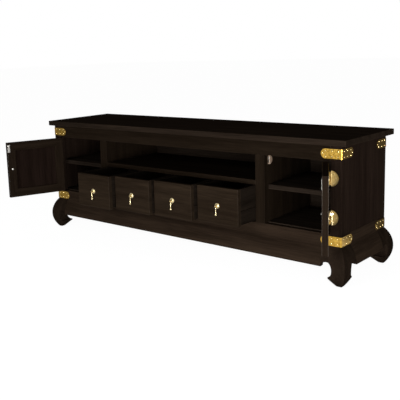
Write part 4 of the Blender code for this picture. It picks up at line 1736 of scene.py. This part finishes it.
@dataclass
class Door:
    """One door: a mitred frame, a fielded panel, two hinges, a pull and a strike plate."""

    cabinet: Cabinet
    side: Side
    frame_width: float = 0.045
    arris: float = 0.0014
    arris_steps: int = 3
    moulding: float = 0.0032
    moulding_steps: int = 4
    tongue_thickness: float = 0.008
    tongue_depth: float = 0.008
    field_rise: float = 0.003
    field_bevel: float = 0.020
    field_round: float = 0.0006
    strike_width: float = 0.011
    strike_height: float = 0.040
    strike_thickness: float = 0.0010
    strike_arris: float = 0.0004
    strike_edge: float = 0.004  # from the free edge
    strike_drop: float = 0.011  # from the top
    strike_screw: Dome = Dome(0.0026, 0.0009)
    strike_screw_reach: float = 0.013  # from the plate's middle

    def place(self) -> Matrix:
        """The hinge's axis, turned as the door stands open.

        Returns:
            The place, in whose frame the door lies as it does when closed.
        """
        joint = self.cabinet.joints[f"door_{self.side.word}_swing"]
        opened = -math.radians(joint["range_deg"][0]) * joint["axis"][2]
        return Matrix.Translation(Vector(joint["pos_m"])) @ Matrix.Rotation(opened, 4, "Z")

    def build(self) -> None:
        """Builds the door in its open place."""
        place = self.place()
        word = self.side.word
        node = f"door_frame_{word}"
        low, high = self.cabinet.local_box(node, place)
        turn = place.to_euler().z
        stiles, rails = self.frame_meshes(low, high)
        upright = DOOR_WOOD.laid(Grain.UPRIGHT, turn)
        across = DOOR_WOOD.laid(Grain.ACROSS, turn)
        self.cabinet.add(f"door_{word}_stiles", placed(stiles, place), upright, node, True)
        self.cabinet.add(f"door_{word}_rails", placed(rails, place), across, node)
        panel = f"door_panel_{word}"
        fielded = placed(self.panel_mesh(low, high), place)
        self.cabinet.add(f"{panel}_wood", fielded, PANEL_WOOD.laid(Grain.UPRIGHT, turn), panel, True)
        strike = placed(self.strike_mesh(low, high), place)
        self.cabinet.add(f"door_{word}_strike_plate", strike, ZINC, node)
        for level in Level:
            Hinge(self.cabinet, self.side, level, place).build()
        DropPull(self.cabinet, "door", word, high.y - low.y).build()

    def mitred(self, start: float, end: float) -> list[float]:
        """Where a frame member's four corners lie along it.

        Args:
            start: The frame's edge where the member starts.
            end: The edge where it ends.

        Returns:
            The outer start, the inner start, the inner end and the outer end.
        """
        gap = SEAT / 2
        wide = self.frame_width
        return [start + gap, start + wide + gap, end - wide - gap, end - gap]

    def frame_meshes(self, low: Vector, high: Vector) -> tuple[Mesh, Mesh]:
        """The frame's stiles and rails, mitred at the corners.

        Args:
            low: The frame's lowest corner as it hangs when closed.
            high: Its highest corner.

        Returns:
            The two stiles, and the two rails.
        """
        upright = self.mitred(low.z, high.z)
        across = self.mitred(low.x, high.x)
        stiles = []
        for outer, way in ((low.x, 1), (high.x, -1)):
            inner = outer + way * self.frame_width
            stiles.append(self.member(list(zip((outer, inner, inner, outer), upright)), low.y, high.y))
        rails = []
        for outer, way in ((low.z, 1), (high.z, -1)):
            inner = outer + way * self.frame_width
            rails.append(self.member(list(zip(across, (outer, inner, inner, outer))), low.y, high.y))
        return united(stiles), united(rails)

    def member(self, outline: list[Point], face: float, back: float) -> Mesh:
        """One mitred member of the frame.

        Args:
            outline: Its corners in X and Z, with the inner edge between the second and the third.
            face: Where its outer face is.
            back: Where its inner face is.

        Returns:
            The member, with a moulded inner edge.
        """
        shape = prism_shape(outline, 1, face, back)
        corners = [Vector((point[0], 0, point[1])) for point in outline]
        inner = [edge for edge in shape.edges if self.runs_between(edge, corners[1], corners[2])]
        round_edges(shape, inner, self.moulding, self.moulding_steps, worn=False)
        outer = [edge for edge in shape.edges if self.runs_between(edge, corners[0], corners[3])]
        round_edges(shape, outer, self.arris, self.arris_steps)
        return to_mesh(shape)

    @staticmethod
    def runs_between(edge: bmesh.types.BMEdge, first: Vector, second: Vector) -> bool:
        """Whether an edge runs between two corners of an outline in X and Z.

        Args:
            edge: The edge to look at.
            first: One corner.
            second: The other corner.

        Returns:
            Whether its ends are those corners, either way round.
        """
        one, other = (Vector((vert.co.x, 0, vert.co.z)) for vert in edge.verts)
        forth = (one - first).length < NEAR and (other - second).length < NEAR
        back = (other - first).length < NEAR and (one - second).length < NEAR
        return forth or back

    def panel_mesh(self, low: Vector, high: Vector) -> Mesh:
        """The panel: a tongue all round, a bevelled field on the outer face, and a flat inner face.

        Args:
            low: The frame's lowest corner as it hangs when closed.
            high: Its highest corner.

        Returns:
            The panel's mesh.
        """
        margin = self.frame_width - self.tongue_depth + SEAT
        middle = (low.y + high.y) / 2
        half = self.tongue_thickness / 2
        panel_low = (low.x + margin, middle - half, low.z + margin)
        shape = board_shape(panel_low, (high.x - margin, middle + half, high.z - margin))
        field = front_face(shape)
        outward = field.normal.copy()
        for border in (self.tongue_depth, self.field_bevel):
            inset(shape, field, border)
        bmesh.ops.translate(shape, vec=outward * self.field_rise, verts=field.verts)
        round_edges(shape, field.edges[:], self.field_round)
        return to_mesh(shape)

    def strike_mesh(self, low: Vector, high: Vector) -> Mesh:
        """The plate that the catch holds, with its two screws, on the door's inner face.

        Args:
            low: The frame's lowest corner as it hangs when closed.
            high: Its highest corner.

        Returns:
            The mesh of the plate and the screws.
        """
        inward = self.side.value
        free = low.x if self.side is Side.RIGHT else high.x
        near = free + inward * self.strike_edge
        ends = sorted((near, near + inward * self.strike_width))
        top = high.z - self.strike_drop
        back = high.y + SEAT
        outer = back + self.strike_thickness
        plate_low = (ends[0], back, top - self.strike_height)
        plate = board(plate_low, (ends[1], outer, top), self.strike_arris)
        across = (ends[0] + ends[1]) / 2
        middle = top - self.strike_height / 2
        spots = [(across, outer, middle + way * self.strike_screw_reach) for way in (-1, 1)]
        return united([plate] + self.strike_screw.heads(spots, FACING_BACK))


@dataclass
class Catch:
    """A magnetic catch on the side of a divider, behind the closed door's strike plate."""

    cabinet: Cabinet
    side: Side
    top_drop: float = 0.0035  # below the rail
    height: float = 0.038
    setback: float = 0.0275  # behind the carcass's front
    flange: float = 0.003  # straight part before the round back
    reach: float = 0.0105
    edge_round: float = 0.0035
    edge_steps: int = 5
    round_steps: int = 24
    magnet_height: float = 0.028
    magnet_width: float = 0.0045
    magnet_inset: float = 0.0025
    magnet_reach: float = 0.0008
    magnet_gap: float = 0.00003
    magnet_arris: float = 0.0002
    screw: Dome = Dome(0.0026, 0.0010)
    screw_back: float = 0.00475  # behind the straight part
    screw_reach: float = 0.0095  # from the catch's middle

    def build(self) -> None:
        """Builds the catch's body, magnet plate and screws."""
        node = f"divider_{self.side.word}"
        low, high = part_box(node)
        out = self.side.value
        face = high.x if out > 0 else low.x
        half = self.height / 2
        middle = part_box("front_top_rail")[0].z - self.top_drop - half
        front = low.y + self.setback
        tip = face + out * self.reach
        back = front + self.flange
        outline = [(front, middle - half)]
        outline += arc((back, middle), (half, half), -QUARTER, QUARTER, self.round_steps)
        outline.append((front, middle + half))
        ends = sorted((face + out * SEAT, tip))
        shape = prism_shape(outline, 0, ends[0], ends[1])
        outer = [edge for edge in shape.edges if all(abs(vert.co.x - tip) < NEAR for vert in edge.verts)]
        round_edges(shape, outer, self.edge_round, self.edge_steps)
        name = f"catch_{self.side.word}"
        self.cabinet.add(f"{name}_body", to_mesh(shape), PALE_PLASTIC, node)
        start = face + out * self.magnet_inset
        sides = sorted((start, start + out * self.magnet_width))
        rise = self.magnet_height / 2
        magnet_low = (sides[0], front - self.magnet_reach, middle - rise)
        magnet_high = (sides[1], front - self.magnet_gap, middle + rise)
        magnet = board(magnet_low, magnet_high, self.magnet_arris, 1)
        spots = [(tip, back + self.screw_back, middle + way * self.screw_reach) for way in (-1, 1)]
        screws = self.screw.heads(spots, Matrix.Rotation(out * QUARTER, 4, "Y"))
        self.cabinet.add(f"{name}_metal", united([magnet] + screws), ZINC, node)


@dataclass(frozen=True)
class Card:
    """A grey card that stands out of view, and shows in reflections alone."""

    name: str
    low: Place
    high: Place
    glow: float


@dataclass(frozen=True)
class Lamp:
    """A square soft lamp, with its power in watts and the length of its sides."""

    name: str
    place: Place
    power: float
    size: float


@dataclass
class Studio:
    """The floor, the light and the camera."""

    floor_half: float = 40.0
    floor_colour: Colour = (0.80, 0.80, 0.80)
    floor_glow: float = 0.85
    glow_seen: float = 1.13  # the floor's glow as it is seen and mirrored
    glow_given: float = 0.55  # and as it lights the cabinet
    dull: float = 0.9  # roughness of the floor and the cards
    sky_low: float = 1.0
    sky_high: float = 0.18
    sky_low_end: float = math.radians(5)  # above the horizon
    sky_high_start: float = math.radians(14)
    card_colour: Colour = (0.02, 0.02, 0.02)
    cards: tuple[Card, ...] = (
        Card("near_card", (0.87, 0.55, 0.0), (1.05, 0.56, 1.4), 0.04),
        Card("right_card", (1.05, 0.55, 0.0), (4.0, 0.56, 1.4), 0.10),
        Card("left_card", (-1.31, -2.0, 0.0), (-1.30, -0.2, 1.2), 0.30),
    )
    lamps: tuple[Lamp, ...] = (
        Lamp("key", (0.2, -4.8, 2.0), 84.0, 2.0),
        Lamp("fill", (2.6, -2.1, 0.35), 44.0, 0.6),
        Lamp("low", (1.7, -2.2, 0.15), 46.0, 0.5),
    )
    aim: Place = (0.0, 0.0, 0.35)
    camera_place: Place = (2.1031, -2.4855, 0.9690)
    camera_yaw: float = 0.7224
    camera_pitch: float = 0.1698
    camera_roll: float = -0.0335
    camera_lens: float = 61.51
    camera_sensor: float = 36.0
    camera_shift: Point = (0.06905, -0.0833)

    def build(self) -> None:
        """Builds everything that isn't the cabinet."""
        self.add_camera()
        self.add_floor()
        for card in self.cards:
            self.add_card(card)
        self.add_sky()
        for lamp in self.lamps:
            self.add_lamp(lamp)
        bpy.context.scene.view_settings.view_transform = "Standard"

    def add_camera(self) -> None:
        """The camera at the photograph's viewing angle."""
        data = bpy.data.cameras.new("camera")
        data.lens = self.camera_lens
        data.sensor_width = self.camera_sensor
        data.shift_x, data.shift_y = self.camera_shift
        camera = bpy.data.objects.new("camera", data)
        bpy.context.scene.collection.objects.link(camera)
        yaw = self.camera_yaw
        pitch = self.camera_pitch
        right = Vector((math.cos(yaw), math.sin(yaw), 0))
        level = math.cos(pitch)
        forward = Vector((-math.sin(yaw) * level, math.cos(yaw) * level, -math.sin(pitch)))
        up = right.cross(forward)
        lean = math.cos(self.camera_roll), math.sin(self.camera_roll)
        columns = (lean[0] * right + lean[1] * up, lean[0] * up - lean[1] * right, -forward)
        turn = Matrix(columns).transposed().to_4x4()
        camera.matrix_world = Matrix.Translation(Vector(self.camera_place)) @ turn
        bpy.context.scene.camera = camera

    def add_stage(self, name: str, shape: Shape, graph: Graph) -> bpy.types.Object:
        """Puts up something that isn't part of the cabinet.

        Args:
            name: Its name.
            shape: Its bmesh, which is freed.
            graph: Its material's nodes.

        Returns:
            The new object.
        """
        mesh = bpy.data.meshes.new(name)
        shape.to_mesh(mesh)
        shape.free()
        mesh.materials.append(graph.material)
        thing = bpy.data.objects.new(name, mesh)
        bpy.context.scene.collection.objects.link(thing)
        return thing

    def add_floor(self) -> None:
        """A pale glowing floor that keeps the cabinet's shadow."""
        graph = Graph("pale_floor")
        paint = (*self.floor_colour, 1.0)
        graph.dress({"Base Color": paint, "Roughness": self.dull, "Specular IOR Level": 0.0})
        seen = graph.made("ShaderNodeLightPath", "Is Camera Ray", {})
        rays = seen.node.outputs
        for ray in ("Is Glossy Ray", "Is Transmission Ray"):
            seen = graph.made("ShaderNodeMath", "Value", {0: seen, 1: rays[ray]}, operation="MAXIMUM")
        ends = {"To Min": self.glow_given, "To Max": self.glow_seen}
        strength = graph.made("ShaderNodeMapRange", "Result", {"Value": seen, **ends})
        glow = graph.made("ShaderNodeEmission", "Emission", {"Strength": strength})
        layers = {"Fac": self.floor_glow, 1: graph.surface.outputs["BSDF"], 2: glow}
        mix = graph.made("ShaderNodeMixShader", "Shader", layers)
        graph.give(graph.tree.nodes["Material Output"].inputs["Surface"], mix)
        shape = new_shape()
        bmesh.ops.create_grid(shape, x_segments=1, y_segments=1, size=self.floor_half)
        self.add_stage("floor", shape, graph)

    def add_card(self, card: Card) -> None:
        """Stands up a card that only reflections see.

        Args:
            card: The card.
        """
        graph = Graph(card.name)
        graph.dress({"Base Color": (*self.card_colour, 1.0), "Roughness": self.dull})
        graph.dress({"Emission Color": WHITE, "Emission Strength": card.glow})
        stand = self.add_stage(card.name, board_shape(card.low, card.high), graph)
        stand.visible_camera = False
        stand.visible_diffuse = False
        stand.visible_shadow = False

    def add_sky(self) -> None:
        """A white horizon under a dimmer ceiling."""
        world = bpy.data.worlds.new("studio")
        bpy.context.scene.world = world
        sky = NodeTree(world)
        way = sky.made("ShaderNodeTexCoord", "Generated", {})
        height = sky.made("ShaderNodeSeparateXYZ", "Z", {"Vector": way})
        span = {"From Min": math.sin(self.sky_low_end), "From Max": math.sin(self.sky_high_start)}
        ends = {"Value": height, "To Min": self.sky_low, "To Max": self.sky_high}
        strength = sky.made("ShaderNodeMapRange", "Result", span | ends, interpolation_type="SMOOTHSTEP")
        back = sky.tree.nodes["Background"].inputs
        sky.give(back["Color"], WHITE)
        sky.give(back["Strength"], strength)

    def add_lamp(self, lamp: Lamp) -> None:
        """Hangs up a lamp, aimed at the cabinet.

        Args:
            lamp: The lamp.
        """
        data = bpy.data.lights.new(lamp.name, "AREA")
        data.energy = lamp.power
        data.size = lamp.size
        light = bpy.data.objects.new(lamp.name, data)
        bpy.context.scene.collection.objects.link(light)
        light.location = Vector(lamp.place)
        light.rotation_euler = (Vector(self.aim) - light.location).to_track_quat("-Z", "Y").to_euler()


def main() -> None:
    """Builds the cabinet's looks around the frame, and the studio around the cabinet."""
    logging.basicConfig(level=logging.INFO, format="%(message)s")
    for old in list(bpy.data.objects):
        bpy.data.objects.remove(old)
    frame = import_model()
    cabinet = Cabinet.from_frame(frame)
    Studio().build()
    Carcass(cabinet).build()
    Base(cabinet).build()
    for level in Level:
        for depth in Depth:
            for side in Side:
                Strap(cabinet, level, depth, side).build()
    for number in (1, 2, 3, 4):
        Drawer(cabinet, number).build()
    for side in Side:
        Door(cabinet, side).build()
        Catch(cabinet, side).build()


if __name__ == "__main__":
    main()
